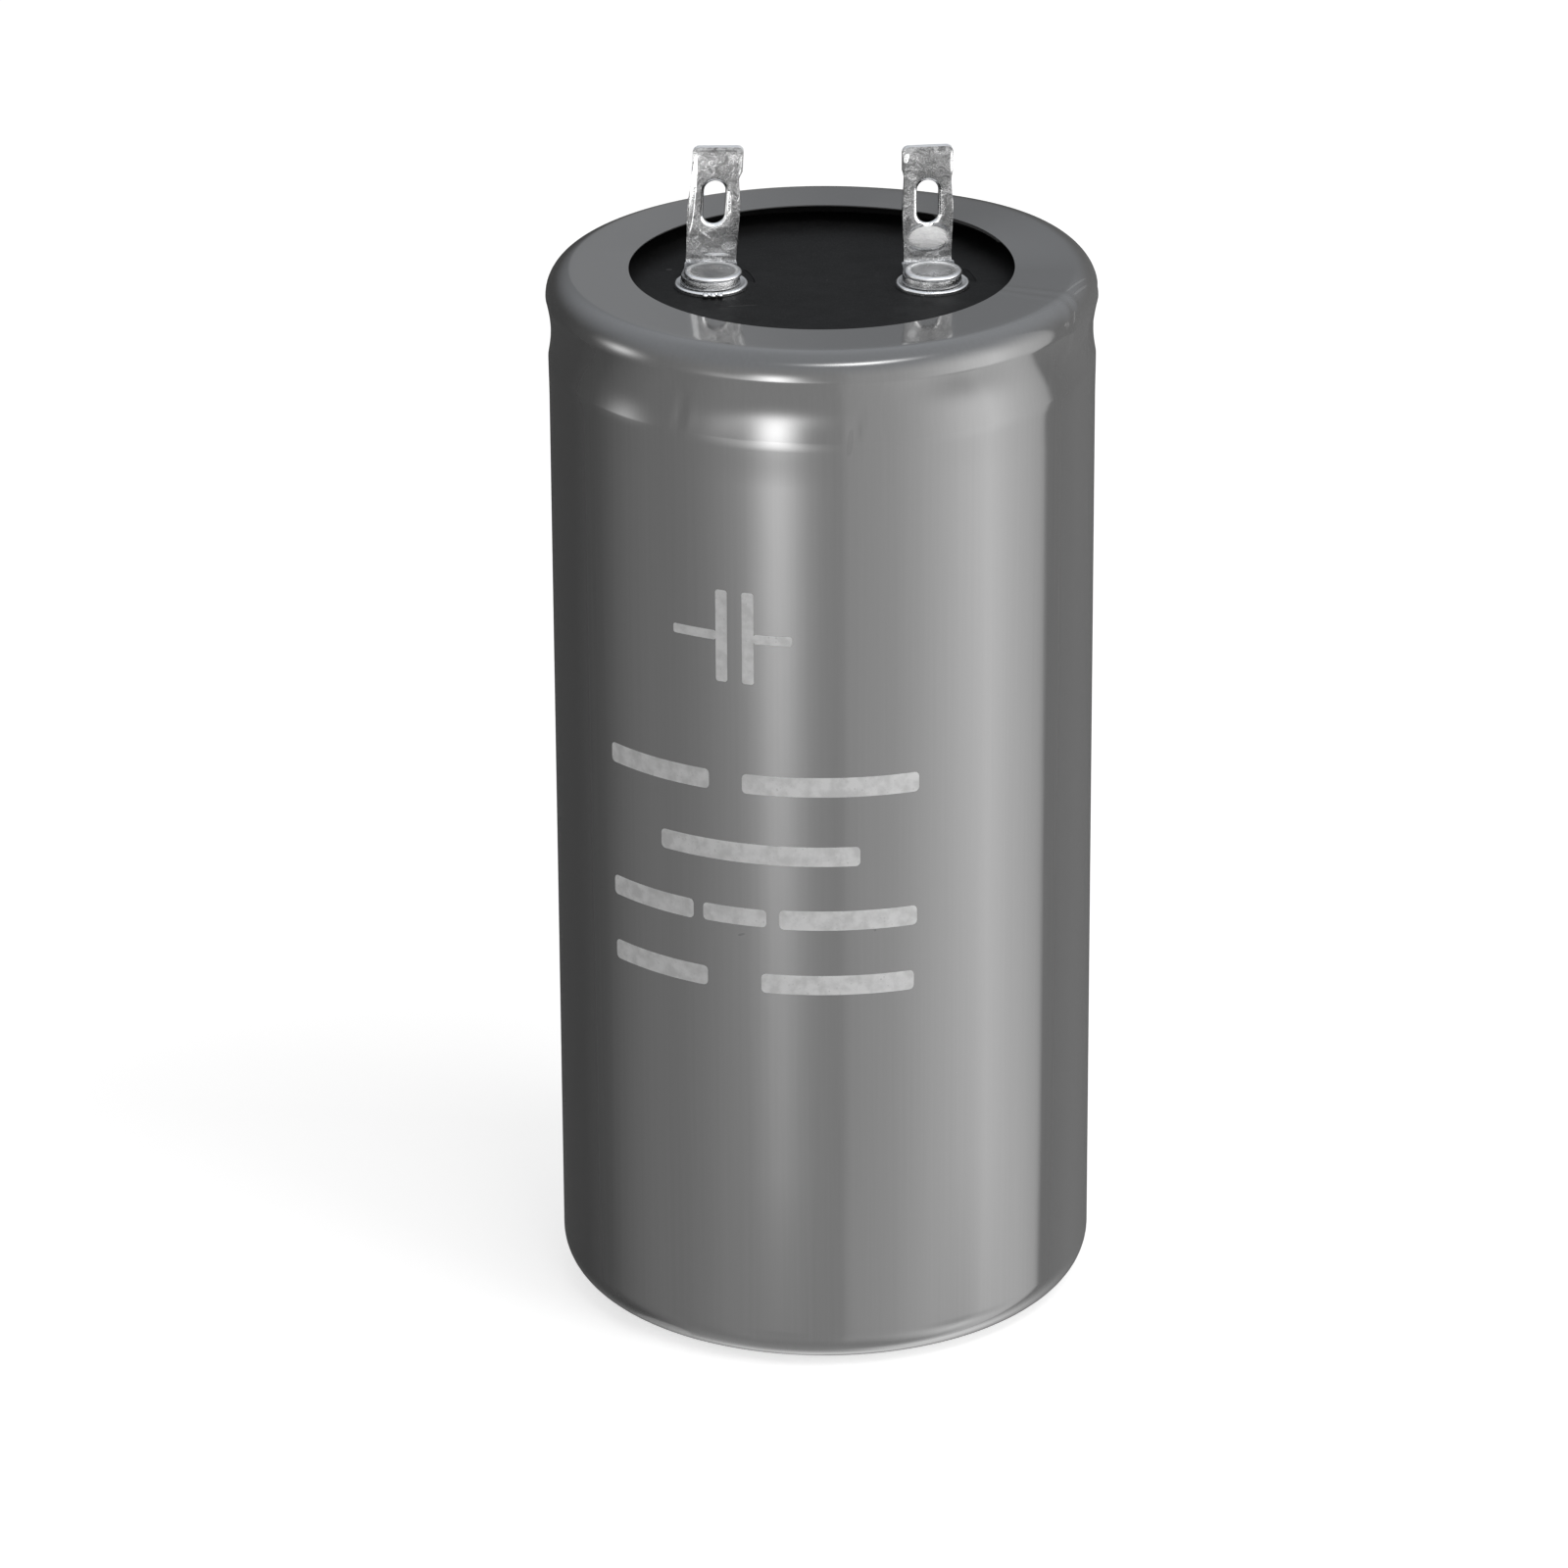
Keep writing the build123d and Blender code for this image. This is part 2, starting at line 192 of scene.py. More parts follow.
@dataclass
class Wiring:
    """Adds nodes to one tree and links them.

    Args:
        tree: The node tree of a material, a group or the world.
    """

    tree: bpy.types.NodeTree

    def feed(self, socket: Socket, value: Any) -> None:
        """Link a socket or set its value.

        Args:
            socket: The socket.
            value: A number, colour or vector, or a value or socket to link from.
        """
        source = value.socket if isinstance(value, Value) else value
        if isinstance(source, Socket):
            self.tree.links.new(source, socket)
        else:
            socket.default_value = source

    def node(self, kind: str, inputs: dict[Any, Any] | None = None, **settings: Any) -> Node:
        """Add a node, set its properties and fill its sockets.

        Args:
            kind: The node's type name.
            inputs: Socket names or numbers with what feeds them.
            **settings: The node's own properties.

        Returns:
            The new node.
        """
        made = self.tree.nodes.new(kind)
        for name, value in settings.items():
            setattr(made, name, value)
        for key, value in (inputs or {}).items():
            self.feed(made.inputs[key], value)
        return made

    def values(self, node: Node) -> dict[str, Value]:
        """A node's outputs by name."""
        return {output.name: Value(self, output) for output in node.outputs}

    def group(self, name: str, inputs: dict[str, Any]) -> dict[str, Value]:
        """Place a shared shader group and give its outputs by name."""
        return self.values(self.node("ShaderNodeGroup", inputs, node_tree=bpy.data.node_groups[name]))

    def math(self, operation: str, first: Any, second: Any = 0.0) -> Value:
        """Combine two values by a Math node."""
        return Value(self, self.node("ShaderNodeMath", {0: first, 1: second}, operation=operation).outputs[0])

    def vector(self, operation: str, inputs: dict[Any, Any]) -> Node:
        """Add a Vector Math node."""
        return self.node("ShaderNodeVectorMath", inputs, operation=operation)

    def spot(self) -> Socket:
        """Object coordinates."""
        return self.node("ShaderNodeTexCoord").outputs["Object"]

    def place(self, stretch: Triple = (1, 1, 1)) -> Socket:
        """Object coordinates, stretched along the axes."""
        return self.node("ShaderNodeMapping", {"Vector": self.spot(), "Scale": stretch}).outputs["Vector"]

    def parts(self, vector: Socket | None = None) -> dict[str, Value]:
        """The X, Y and Z of a vector, or of the object coordinates."""
        return self.values(self.node("ShaderNodeSeparateXYZ", {"Vector": vector or self.spot()}))

    def off_axis(self) -> Value:
        """Distance from the upright axis."""
        flat = self.vector("MULTIPLY", {0: self.spot(), 1: (1, 1, 0)}).outputs[0]
        return self.values(self.vector("LENGTH", {0: flat}))["Value"]

    def rim(self) -> Value:
        """Share of the rims painted bright as highlights, as the piece's mesh holds it."""
        return self.values(self.node("ShaderNodeAttribute", attribute_name="rim"))["Fac"]

    def noise(self, grain: Grain) -> Value:
        """Noise in object space.

        Args:
            grain: What the noise is like.

        Returns:
            Its value.
        """
        made = self.node("ShaderNodeTexNoise", {
            "Vector": self.place(grain.stretch), "Scale": grain.scale, "Detail": grain.detail,
            "Roughness": grain.rough, "Distortion": grain.twist})
        return self.values(made)["Fac"]

    def specks(self, specks: Specks) -> Value:
        """Mask of scattered specks.

        Args:
            specks: What the specks are like.

        Returns:
            The mask.
        """
        made = self.group("specks", {
            "Per Metre": specks.per_metre, "Size": specks.size, "Share": specks.share})
        return made["Mask"] * specks.strength

    def marks(self, marks: Iterable[Mark], across: Value, along: Value) -> Any:
        """Mask of several marks together.

        Args:
            marks: The marks.
            across: Place along the plane's first axis, in metres.
            along: Place along the second axis.

        Returns:
            The mask.
        """
        layer: Any = 0.0
        for mark in marks:
            made = self.group("oval_mark", {
                "Across": across, "Along": along, "Turn": math.radians(mark.turn),
                "Middle Across": mark.across * MM, "Middle Along": mark.along * MM,
                "Half Length": mark.half_length * MM, "Half Width": mark.half_width * MM})
            layer = self.math("MAXIMUM", layer, made["Mask"] * mark.strength)
        return layer

    def remap(self, value: Value, low: float, high: float, to_low: float = 0.0, to_high: float = 1.0,
              smooth: bool = False) -> Value:
        """Map a range of values onto another and hold the ends.

        Args:
            value: The value.
            low: Value that gives to_low.
            high: Value that gives to_high.
            to_low: Result at low.
            to_high: Result at high.
            smooth: Whether the passage is eased.

        Returns:
            The result.
        """
        made = self.node("ShaderNodeMapRange", {
            "Value": value, "From Min": low, "From Max": high, "To Min": to_low, "To Max": to_high},
            interpolation_type="SMOOTHSTEP" if smooth else "LINEAR")
        return self.values(made)["Result"]

    def blend(self, share: Any, first: Any, second: Any) -> Socket:
        """Mix two colours; the share is the second one's."""
        return self.node("ShaderNodeMix", {0: share, 6: first, 7: second}, data_type="RGBA").outputs[2]

    def bump(self, height: Any, depth: float, under: Socket | None = None) -> Socket:
        """Turn a height into a normal.

        Args:
            height: Height from 0 to 1.
            depth: Height of 1, in metres.
            under: Normal that the relief lies on.

        Returns:
            The normal.
        """
        inputs = {"Height": height, "Distance": depth}
        if under:
            inputs["Normal"] = under
        return self.node("ShaderNodeBump", inputs).outputs["Normal"]

    def surface(self, colour: Any, roughness: Any, normal: Socket, constants: dict[str, float]) -> None:
        """Make the Principled shader and the material's output.

        Args:
            colour: Base colour.
            roughness: Roughness.
            normal: Normal.
            constants: Values that stay the same all over, set on the shader's own sockets.
        """
        shader = self.node("ShaderNodeBsdfPrincipled", {
            "Base Color": colour, "Roughness": roughness, "Normal": normal, **constants})
        self.node("ShaderNodeOutputMaterial", {"Surface": shader.outputs[0]})


def grey(level: float) -> Colour:
    """A neutral colour of that linear level."""
    return (level, level, level, 1.0)


def new_group(name: str, inputs: dict[str, float],
              outputs: Iterable[str]) -> tuple[Wiring, dict[str, Value], dict[str, Socket]]:
    """Start a shader group with float sockets.

    Args:
        name: The group's name.
        inputs: Input names with their default values.
        outputs: Output names.

    Returns:
        The wiring, the group's inputs, and the sockets that feed its outputs.
    """
    tree = bpy.data.node_groups.new(name, "ShaderNodeTree")
    for label, value in inputs.items():
        made = tree.interface.new_socket(label, in_out="INPUT", socket_type="NodeSocketFloat")
        made.default_value = value
    for label in outputs:
        tree.interface.new_socket(label, in_out="OUTPUT", socket_type="NodeSocketFloat")
    w = Wiring(tree)
    return w, w.values(w.node("NodeGroupInput")), w.node("NodeGroupOutput").inputs


def add_specks_group() -> None:
    """Add the group that scatters specks of uneven size."""
    least, reach = 0.15, 4.0
    w, take, out = new_group("specks", {"Per Metre": 400.0, "Size": 0.1, "Share": 0.3}, ["Mask"])
    cells = w.values(w.node("ShaderNodeTexVoronoi", {"Vector": w.place(), "Scale": take["Per Metre"]}))
    chance = w.values(w.node("ShaderNodeSeparateColor", {"Color": cells["Color"]}))["Red"]
    inside = cells["Distance"] < (chance + least) * take["Size"] * reach
    w.feed(out["Mask"], (chance < take["Share"]) * inside)


def add_beaten_group() -> None:
    """Add the group for metal that was pressed, tumbled or hot dipped: its height and its smudges."""
    finer, broader = 4.3, 0.8
    w, take, out = new_group("beaten_metal", {"Per Metre": 700.0, "Fine": 0.3}, ["Height", "Smudge"])
    waves = take["Per Metre"]
    coarse = w.noise(Grain(waves, detail=2.0, rough=0.5, twist=0.6))
    fine = w.noise(Grain(waves * finer, detail=4.0, rough=0.5))
    smudge = w.noise(Grain(waves * broader, detail=6.0, rough=0.7, twist=1.2))
    w.feed(out["Height"], coarse + fine * take["Fine"])
    w.feed(out["Smudge"], w.remap(smudge, 0.38, 0.66, smooth=True))


def add_mark_group() -> None:
    """Add the group that masks one oval or drawn-out mark on a plane."""
    squareness, full, faded = 2.4, 0.5, 1.15
    names = ("Across", "Along", "Middle Across", "Middle Along", "Turn", "Half Length", "Half Width")
    w, take, out = new_group("oval_mark", dict.fromkeys(names, 0.001), ["Mask"])
    across = take["Across"] - take["Middle Across"]
    along = take["Along"] - take["Middle Along"]
    cosine, sine = w.math("COSINE", take["Turn"]), w.math("SINE", take["Turn"])
    length = abs(across * cosine + along * sine) / take["Half Length"]
    width = abs(along * cosine - across * sine) / take["Half Width"]
    oval = length ** squareness + width ** squareness
    w.feed(out["Mask"], w.remap(oval, full, faded, 1.0, 0.0, smooth=True))


def add_patch_group() -> None:
    """Add the group for one soft patch of the surround."""
    names = ("Azimuth", "Elevation", "Middle Azimuth", "Middle Elevation", "Width", "Height")
    w, take, out = new_group("soft_patch", dict.fromkeys(names, 0.0), ["Share"])
    across = (take["Azimuth"] - take["Middle Azimuth"]) / take["Width"]
    upwards = (take["Elevation"] - take["Middle Elevation"]) / take["Height"]
    w.feed(out["Share"], w.math("EXPONENT", (across * across + upwards * upwards) * -1.0))


@dataclass(frozen=True)
class Look:
    """A finish that makes its own material.

    Args:
        name: The material's name.
    """

    name: str

    def make(self) -> Material:
        """Make the material.

        Returns:
            The material.
        """
        material = bpy.data.materials.new(self.name)
        material.use_nodes = True
        material.node_tree.nodes.clear()
        self.wire(Wiring(material.node_tree))
        return material

    def wire(self, w: Wiring) -> None:
        """Lay the material's nodes. Each finish has its own."""
        raise NotImplementedError


@dataclass(frozen=True)
class ShrinkFilm(Look):
    """Glossy grey film, shrunk tight, with drawn streaks, dust and painted highlights.

    Args:
        level: Linear grey of the film.
        tones: Share of that level in the dark streaks, the pale streaks and the cloud.
        dusty: Linear grey of the dust.
        pale: Linear grey of the painted highlights.
        dark: Linear grey of the dark marks.
        roughness: Least and greatest roughness.
        streaks: Pattern of the drawn streaks.
        streak_depth: Their height, in metres.
        streak_span: Values of the streaks between which the roughness passes.
        cloud: Pattern of the broad unevenness of the tone.
        cloud_share: How clearly it shows.
        dust: The specks of dust.
        peel: Pattern of the broad unevenness of the surface.
        peel_depth: Its height, in metres.
        painted_front_highlights: Pale places on the front, along X and Z, painted as a reflection along the
            base's corner and as glints on the rim.
        rim_top: Height above which the rim's marks lie, in metres.
        painted_rim_glints: Fine pale lines on the top of the rim, along X and Y, painted as glints on its
            creases.
        dark_marks: Dark specks on the front, and a dark line painted as shade along a dented crease, along X
            and Z.
    """

    name: str = "shrink_film"
    level: float = 0.105
    tones: Triple = (0.9, 1.1, 1.12)
    dusty: float = 0.35
    pale: float = 0.34
    dark: float = 0.02
    roughness: Pair = (0.08, 0.14)
    streaks: Grain = Grain(2600.0, (1, 1, 0.012), rough=0.6)
    streak_depth: float = 0.0000004
    streak_span: Pair = (0.25, 0.75)
    cloud: Grain = Grain(120.0, (1, 1, 0.35), 2.0)
    cloud_share: float = 0.25
    dust: Specks = Specks(420.0, 0.012, 0.25, 0.35)
    peel: Grain = Grain(260.0, (1, 1, 0.5), 1.0)
    peel_depth: float = 0.00001
    painted_front_highlights: tuple[Mark, ...] = (
        Mark(-15.2, 1.3, 0.0, 3.0, 1.0),
        Mark(-11.4, 0.9, 0.0, 5.6, 0.7, 0.6),
        Mark(22.7, 98.3, 86.0, 0.4, 0.07, 0.35),
        Mark(21.85, 98.2, 40.0, 0.15, 0.1, 0.35),
    )
    rim_top: float = 0.0985
    painted_rim_glints: tuple[Mark, ...] = (
        Mark(23.0, -5.1, 67.5, 2.6, 0.12, 0.35),
        Mark(23.4, -5.85, 69.7, 2.0, 0.11, 0.28),
    )
    dark_marks: tuple[Mark, ...] = (
        Mark(-7.55, 43.7, 20.0, 0.35, 0.12, 0.7),
        Mark(4.6, 44.4, 0.0, 0.12, 0.12, 0.8),
        # Painted shade: a dark line along the dented fold near the crease.
        Mark(2.45, 91.6, 84.0, 1.3, 0.28, 0.3),
    )

    def wire(self, w: Wiring) -> None:
        """Lay the film's nodes.

        Args:
            w: The material's wiring.
        """
        streaks = w.noise(self.streaks)
        low, high, cloudy = (grey(self.level * tone) for tone in self.tones)
        tone = w.blend(streaks, low, high)
        tone = w.blend(w.noise(self.cloud) * self.cloud_share, tone, cloudy)
        tone = w.blend(w.specks(self.dust), tone, grey(self.dusty))
        parts = w.parts()
        front = parts["Y"] < 0.0
        # Painted highlights: pale marks on the front and on the rim stand for reflections and glints.
        pale = front * w.marks(self.painted_front_highlights, parts["X"], parts["Z"])
        dark = front * w.marks(self.dark_marks, parts["X"], parts["Z"])
        pale |= (parts["Z"] > self.rim_top) * w.marks(self.painted_rim_glints, parts["X"], parts["Y"])
        colour = w.blend(dark, w.blend(pale, tone, grey(self.pale)), grey(self.dark))
        normal = w.bump(streaks, self.streak_depth, w.bump(w.noise(self.peel), self.peel_depth))
        w.surface(colour, w.remap(streaks, *self.streak_span, *self.roughness), normal, {
            "Specular IOR Level": 1.0, "Coat Weight": 1.0, "Coat Roughness": 0.05})


@dataclass(frozen=True)
class PrintInk(Look):
    """Pale screen ink, thin in places.

    Args:
        level: Linear grey of the full ink.
        worn_level: Linear grey where the film shows through.
        roughness: Roughness of the full and of the worn ink.
        thin: Pattern of the thin places.
        pores: The pores.
        grain: Pattern of the surface.
        depth: Its height, in metres.
    """

    name: str = "print_ink"
    level: float = 0.66
    worn_level: float = 0.42
    roughness: Pair = (0.42, 0.28)
    thin: Grain = Grain(900.0, detail=5.0)
    pores: Specks = Specks(3000.0, 0.12, 0.45, 0.6)
    grain: Grain = Grain(2600.0, detail=4.0)
    depth: float = 0.000006

    def wire(self, w: Wiring) -> None:
        """Lay the ink's nodes.

        Args:
            w: The material's wiring.
        """
        worn = w.remap(w.noise(self.thin), 0.4, 0.62, 0.0, 0.55) | w.specks(self.pores)
        colour = w.blend(worn, grey(self.level), grey(self.worn_level))
        normal = w.bump(w.noise(self.grain), self.depth)
        w.surface(colour, w.remap(worn, 0.0, 1.0, *self.roughness), normal, {"Specular IOR Level": 0.4})


@dataclass(frozen=True)
class LidRubber(Look):
    """Matt black rubber with dust, a ring mark and a few fine scratches.

    Args:
        level: Linear grey of the rubber.
        tones: Share of that level in the dark mottle, the pale mottle and the ring.
        dusty: Linear grey of dust and scratches.
        pressed: Linear grey of the pressed slots, painted near-black as their shade.
        roughness: Least and greatest roughness.
        mottle: Pattern of the tone.
        grain: Pattern of the surface.
        depth: Its height, in metres.
        slot_drop: How far the slots lie below it, in the same height.
        dust: The specks of dust.
        ring_centre: Centre of the faint ring mark, X and Y in metres.
        ring_radius: Its radius, in metres.
        ring_width: How far it fades to each side, in metres.
        ring_share: How clearly it shows.
        worn: Pattern that breaks the ring up.
        shaded_slots: Pressed slots beside the washers, along X and Y, painted dark as shade.
        scratches: Pale scratches and specks, along X and Y.
    """

    name: str = "lid_rubber"
    level: float = 0.007
    tones: Triple = (0.8, 1.35, 2.4)
    dusty: float = 0.12
    pressed: float = 0.001
    roughness: Pair = (0.52, 0.68)
    mottle: Grain = Grain(350.0, detail=6.0, rough=0.65)
    grain: Grain = Grain(4200.0)
    depth: float = 0.00002
    slot_drop: float = 8.0
    dust: Specks = Specks(520.0, 0.02, 0.3, 0.6)
    ring_centre: Pair = (0.0100, 0.0024)
    ring_radius: float = 0.0050
    ring_width: float = 0.0004
    ring_share: float = 0.5
    worn: Grain = Grain(500.0)
    shaded_slots: tuple[Mark, ...] = (Mark(-6.7, 2.7, -76.0, 2.0, 0.32), Mark(13.5, 2.7, -76.0, 2.0, 0.32))
    scratches: tuple[Mark, ...] = (
        Mark(-7.2, -5.5, 6.0, 1.5, 0.07, 0.45),
        Mark(-9.0, -6.3, 4.0, 0.6, 0.06, 0.35),
        Mark(-14.0, 4.7, 0.0, 0.3, 0.25, 0.4),
        Mark(12.3, 5.0, 60.0, 0.5, 0.1, 0.3),
    )

    def wire(self, w: Wiring) -> None:
        """Lay the rubber's nodes.

        Args:
            w: The material's wiring.
        """
        parts = w.parts()
        across = parts["X"] - self.ring_centre[0]
        along = parts["Y"] - self.ring_centre[1]
        off_ring = abs(w.math("SQRT", across * across + along * along) - self.ring_radius)
        ring = w.remap(off_ring, 0.0, self.ring_width, 1.0, 0.0, smooth=True)
        ring *= w.remap(w.noise(self.worn), 0.4, 0.7)
        mottle = w.noise(self.mottle)
        low, high, marked = (grey(self.level * tone) for tone in self.tones)
        tone = w.blend(ring * self.ring_share, w.blend(mottle, low, high), marked)
        dust = w.specks(self.dust) | w.marks(self.scratches, parts["X"], parts["Y"])
        # Painted shade: the pressed slots are coloured near-black, over their real dip in the relief.
        pressed = w.marks(self.shaded_slots, parts["X"], parts["Y"])
        colour = w.blend(pressed, w.blend(dust, tone, grey(self.dusty)), grey(self.pressed))
        normal = w.bump(w.noise(self.grain) - pressed * self.slot_drop, self.depth)
        w.surface(colour, w.remap(mottle, *NOISE_SPAN, *self.roughness), normal, {"Specular IOR Level": 0.16})


@dataclass(frozen=True)
class BeatenMetal(Look):
    """Metal with an uneven, partly dull skin.

    Args:
        bright: Linear grey of the clean metal.
        dull: Linear grey of the smudged metal.
        roughness: Roughness of the clean and of the smudged metal.
        waves: Waves of the unevenness per metre.
        depth: Its height, in metres.
        fine: Share of the fine grain in it.
        rim: Linear grey painted on its rims as a highlight.
        pits: The dark pits.
    """

    bright: float
    dull: float
    roughness: Pair
    waves: float
    depth: float
    fine: float = 0.3
    rim: float = 0.85
    pits: Specks = Specks(1500.0, 0.03, 0.4, 0.5)

    def wire(self, w: Wiring) -> None:
        """Lay the metal's nodes.

        Args:
            w: The material's wiring.
        """
        skin = w.group("beaten_metal", {"Per Metre": self.waves, "Fine": self.fine})
        tone = w.blend(skin["Smudge"], grey(self.bright), grey(self.dull))
        tone = w.blend(w.specks(self.pits), tone, grey(self.dull * 0.5))
        roughness = w.remap(skin["Smudge"], 0.0, 1.0, *self.roughness)
        normal = w.bump(skin["Height"], self.depth)
        # Painted highlight: the rims are coloured near-white.
        w.surface(w.blend(w.rim(), tone, grey(self.rim)), roughness, normal, {"Metallic": 1.0})


@dataclass(frozen=True)
class TinnedSteel(Look):
    """Mottled, hot-tinned steel with painted highlights on places and rims, painted dark reflections, and
    pressed ovals above the bend.

    The marks lie along X and Z.

    Args:
        pale: Linear grey of the pale mottle.
        dark: Linear grey of the dark mottle.
        highlight_level: Linear grey of the painted highlights on places and rims.
        pressed_level: Linear grey of the pressed ovals.
        roughness: Roughness of the smooth and of the mottled metal.
        relief: Height of the smooth metal's grain, and what the mottle adds to it, in metres.
        waves: Waves of the skin per metre.
        fine: Share of the fine grain in it.
        crystals: Pattern of the crystals.
        smudges: Share of the skin's smudges in the mottle.
        mottled: Values of the mottle between which the metal passes from pale to dark.
        tilt: Slope of the pressed ovals.
        pressed_middle: Height at which their slope crosses the sheet, in metres.
        pressed_smooth: How smooth they are, from 0 to 1.
        sheared: Height above which the sheared top edge is rough, in metres.
        sheared_roughness: Its roughness.
        painted_highlights: Bright places painted as highlights, with smoother metal.
        painted_dark_reflections: Dark places painted as reflections of dark surroundings.
        pressed: The pressed ovals.
    """

    name: str = "tinned_steel"
    pale: float = 0.52
    dark: float = 0.13
    highlight_level: float = 0.88
    pressed_level: float = 0.62
    roughness: Pair = (0.2, 0.42)
    relief: Pair = (0.000006, 0.00003)
    waves: float = 1100.0
    fine: float = 0.45
    crystals: Grain = Grain(7000.0, rough=0.7)
    smudges: float = 0.4
    mottled: Pair = (0.42, 0.98)
    tilt: float = 0.14
    pressed_middle: float = 0.1012
    pressed_smooth: float = 0.8
    sheared: float = 0.10955
    sheared_roughness: float = 0.6
    painted_highlights: tuple[Mark, ...] = (
        Mark(-11.75, 105.5, 84.5, 3.9, 0.3),
        Mark(-8.45, 104.8, 90.0, 1.25, 0.24, 0.9),
        Mark(-7.42, 108.3, 84.0, 0.95, 0.15, 0.8),
        Mark(-7.58, 105.7, 84.0, 0.9, 0.16, 0.7),
        Mark(-10.7, 101.8, -41.0, 0.75, 0.12, 0.6),
        Mark(-9.6, 99.8, 0.0, 1.2, 0.14, 0.9),
        Mark(-8.5, 100.6, 8.0, 0.7, 0.4, 0.6),
        Mark(7.74, 109.0, 80.0, 0.5, 0.24, 0.9),
        Mark(8.23, 107.3, -45.0, 0.5, 0.35, 0.7),
        Mark(7.85, 104.57, 30.0, 0.4, 0.2, 0.6),
        Mark(12.08, 104.9, 90.0, 1.4, 0.14, 0.9),
        Mark(11.9, 108.5, 90.0, 1.1, 0.15, 0.8),
    )
    painted_dark_reflections: tuple[Mark, ...] = (
        Mark(-8.6, 101.95, 0.0, 1.1, 0.5, 0.7),
        Mark(-11.4, 101.9, 60.0, 0.5, 0.3, 0.5),
        Mark(-8.5, 99.3, 0.0, 0.7, 0.3, 0.7),
        Mark(-11.4, 99.4, 0.0, 0.6, 0.35, 0.5),
        Mark(-8.9, 107.9, 80.0, 1.6, 0.8, 0.35),
        Mark(-9.4, 109.5, 0.0, 2.0, 0.3, 0.5),
        Mark(7.5, 108.2, 90.0, 0.9, 0.14, 0.8),
        Mark(10.3, 107.5, 90.0, 2.2, 1.6, 0.4),
        Mark(8.8, 99.75, 0.0, 0.8, 0.3, 0.7),
        Mark(11.2, 99.75, 0.0, 0.5, 0.3, 0.7),
        Mark(11.5, 103.0, 80.0, 1.6, 0.5, 0.5),
        Mark(7.9, 102.4, 90.0, 1.0, 0.3, 0.6),
        Mark(-8.0, 102.6, 85.0, 1.3, 0.5, 0.6),
        Mark(-9.3, 101.2, 0.0, 1.9, 0.9, 0.7),
    )
    pressed: tuple[Mark, ...] = (
        Mark(-9.6, 100.6, 0.0, 2.0, 0.9, 0.15),
        Mark(9.75, 101.35, 0.0, 2.0, 1.35, 0.9),
    )

    def wire(self, w: Wiring) -> None:
        """Lay the metal's nodes.

        Args:
            w: The material's wiring.
        """
        skin = w.group("beaten_metal", {"Per Metre": self.waves, "Fine": self.fine})
        mottle = skin["Smudge"] * self.smudges + w.noise(self.crystals)
        share = w.remap(mottle, *self.mottled)
        parts = w.parts()
        # Painted light: the highlight marks and rims are coloured near-white, and the dark-reflection marks
        # dark.
        painted_highlights, painted_dark_reflections, pressed = (w.marks(marks, parts["X"], parts["Z"])
                                   for marks in (self.painted_highlights, self.painted_dark_reflections, self.pressed))
        painted_highlights |= w.rim()
        tone = w.blend(share, grey(self.pale), grey(self.dark))
        tone = w.blend(painted_dark_reflections, tone, grey(self.dark))
        tone = w.blend(pressed, tone, grey(self.pressed_level))
        beaten = 1.0 - (painted_highlights | pressed * self.pressed_smooth)
        roughness = w.remap(share * beaten, 0.0, 1.0, *self.roughness)
        roughness |= (parts["Z"] > self.sheared) * self.sheared_roughness
        slope = (parts["Z"] - self.pressed_middle) * pressed * -self.tilt
        relief = mottle * (beaten * self.relief[1] + self.relief[0])
        w.surface(w.blend(painted_highlights, tone, grey(self.highlight_level)), roughness, w.bump(relief + slope, 1.0),
                  {"Metallic": 1.0})


@dataclass(frozen=True)
class DrawnAluminium(Look):
    """Bare aluminium with lines that run along the piece, and painted shade on the inner side of its curl.

    Args:
        lines: Pattern of the lines.
        painted_shade: Height above which the inner side is painted dark, as shade under the sleeve's lip, in
            metres.
        painted_shade_reach: Distance from the axis within which that painted shade lies, in metres.
        painted_shade_grey: Linear grey of the painted shade.
        tones: Linear colours of the dark and the pale lines.
        pitted: Linear grey of the pits.
        roughness: Least and greatest roughness.
        depth: Height of the lines, in metres.
        pits: The pits.
    """

    lines: Grain
    painted_shade: float = 1.0
    painted_shade_reach: float = 0.0229
    painted_shade_grey: float = 0.015
    tones: tuple[Colour, Colour] = ((0.62, 0.63, 0.64, 1.0), (0.78, 0.79, 0.8, 1.0))
    pitted: float = 0.4
    roughness: Pair = (0.24, 0.42)
    depth: float = 0.000008
    pits: Specks = Specks(600.0, 0.04, 0.3, 0.4)

    def wire(self, w: Wiring) -> None:
        """Lay the metal's nodes.

        Args:
            w: The material's wiring.
        """
        lines = w.noise(self.lines)
        tone = w.blend(w.specks(self.pits), w.blend(lines, *self.tones), grey(self.pitted))
        # Painted shade: high up and near the axis the metal is coloured near-black, where the sleeve's lip
        # shades the curl.
        painted_shade = (w.parts()["Z"] > self.painted_shade) * (w.off_axis() < self.painted_shade_reach)
        roughness = w.remap(lines, *NOISE_SPAN, *self.roughness) | painted_shade * 0.7
        colour = w.blend(painted_shade, tone, grey(self.painted_shade_grey))
        w.surface(colour, roughness, w.bump(lines, self.depth), {"Metallic": 1.0})


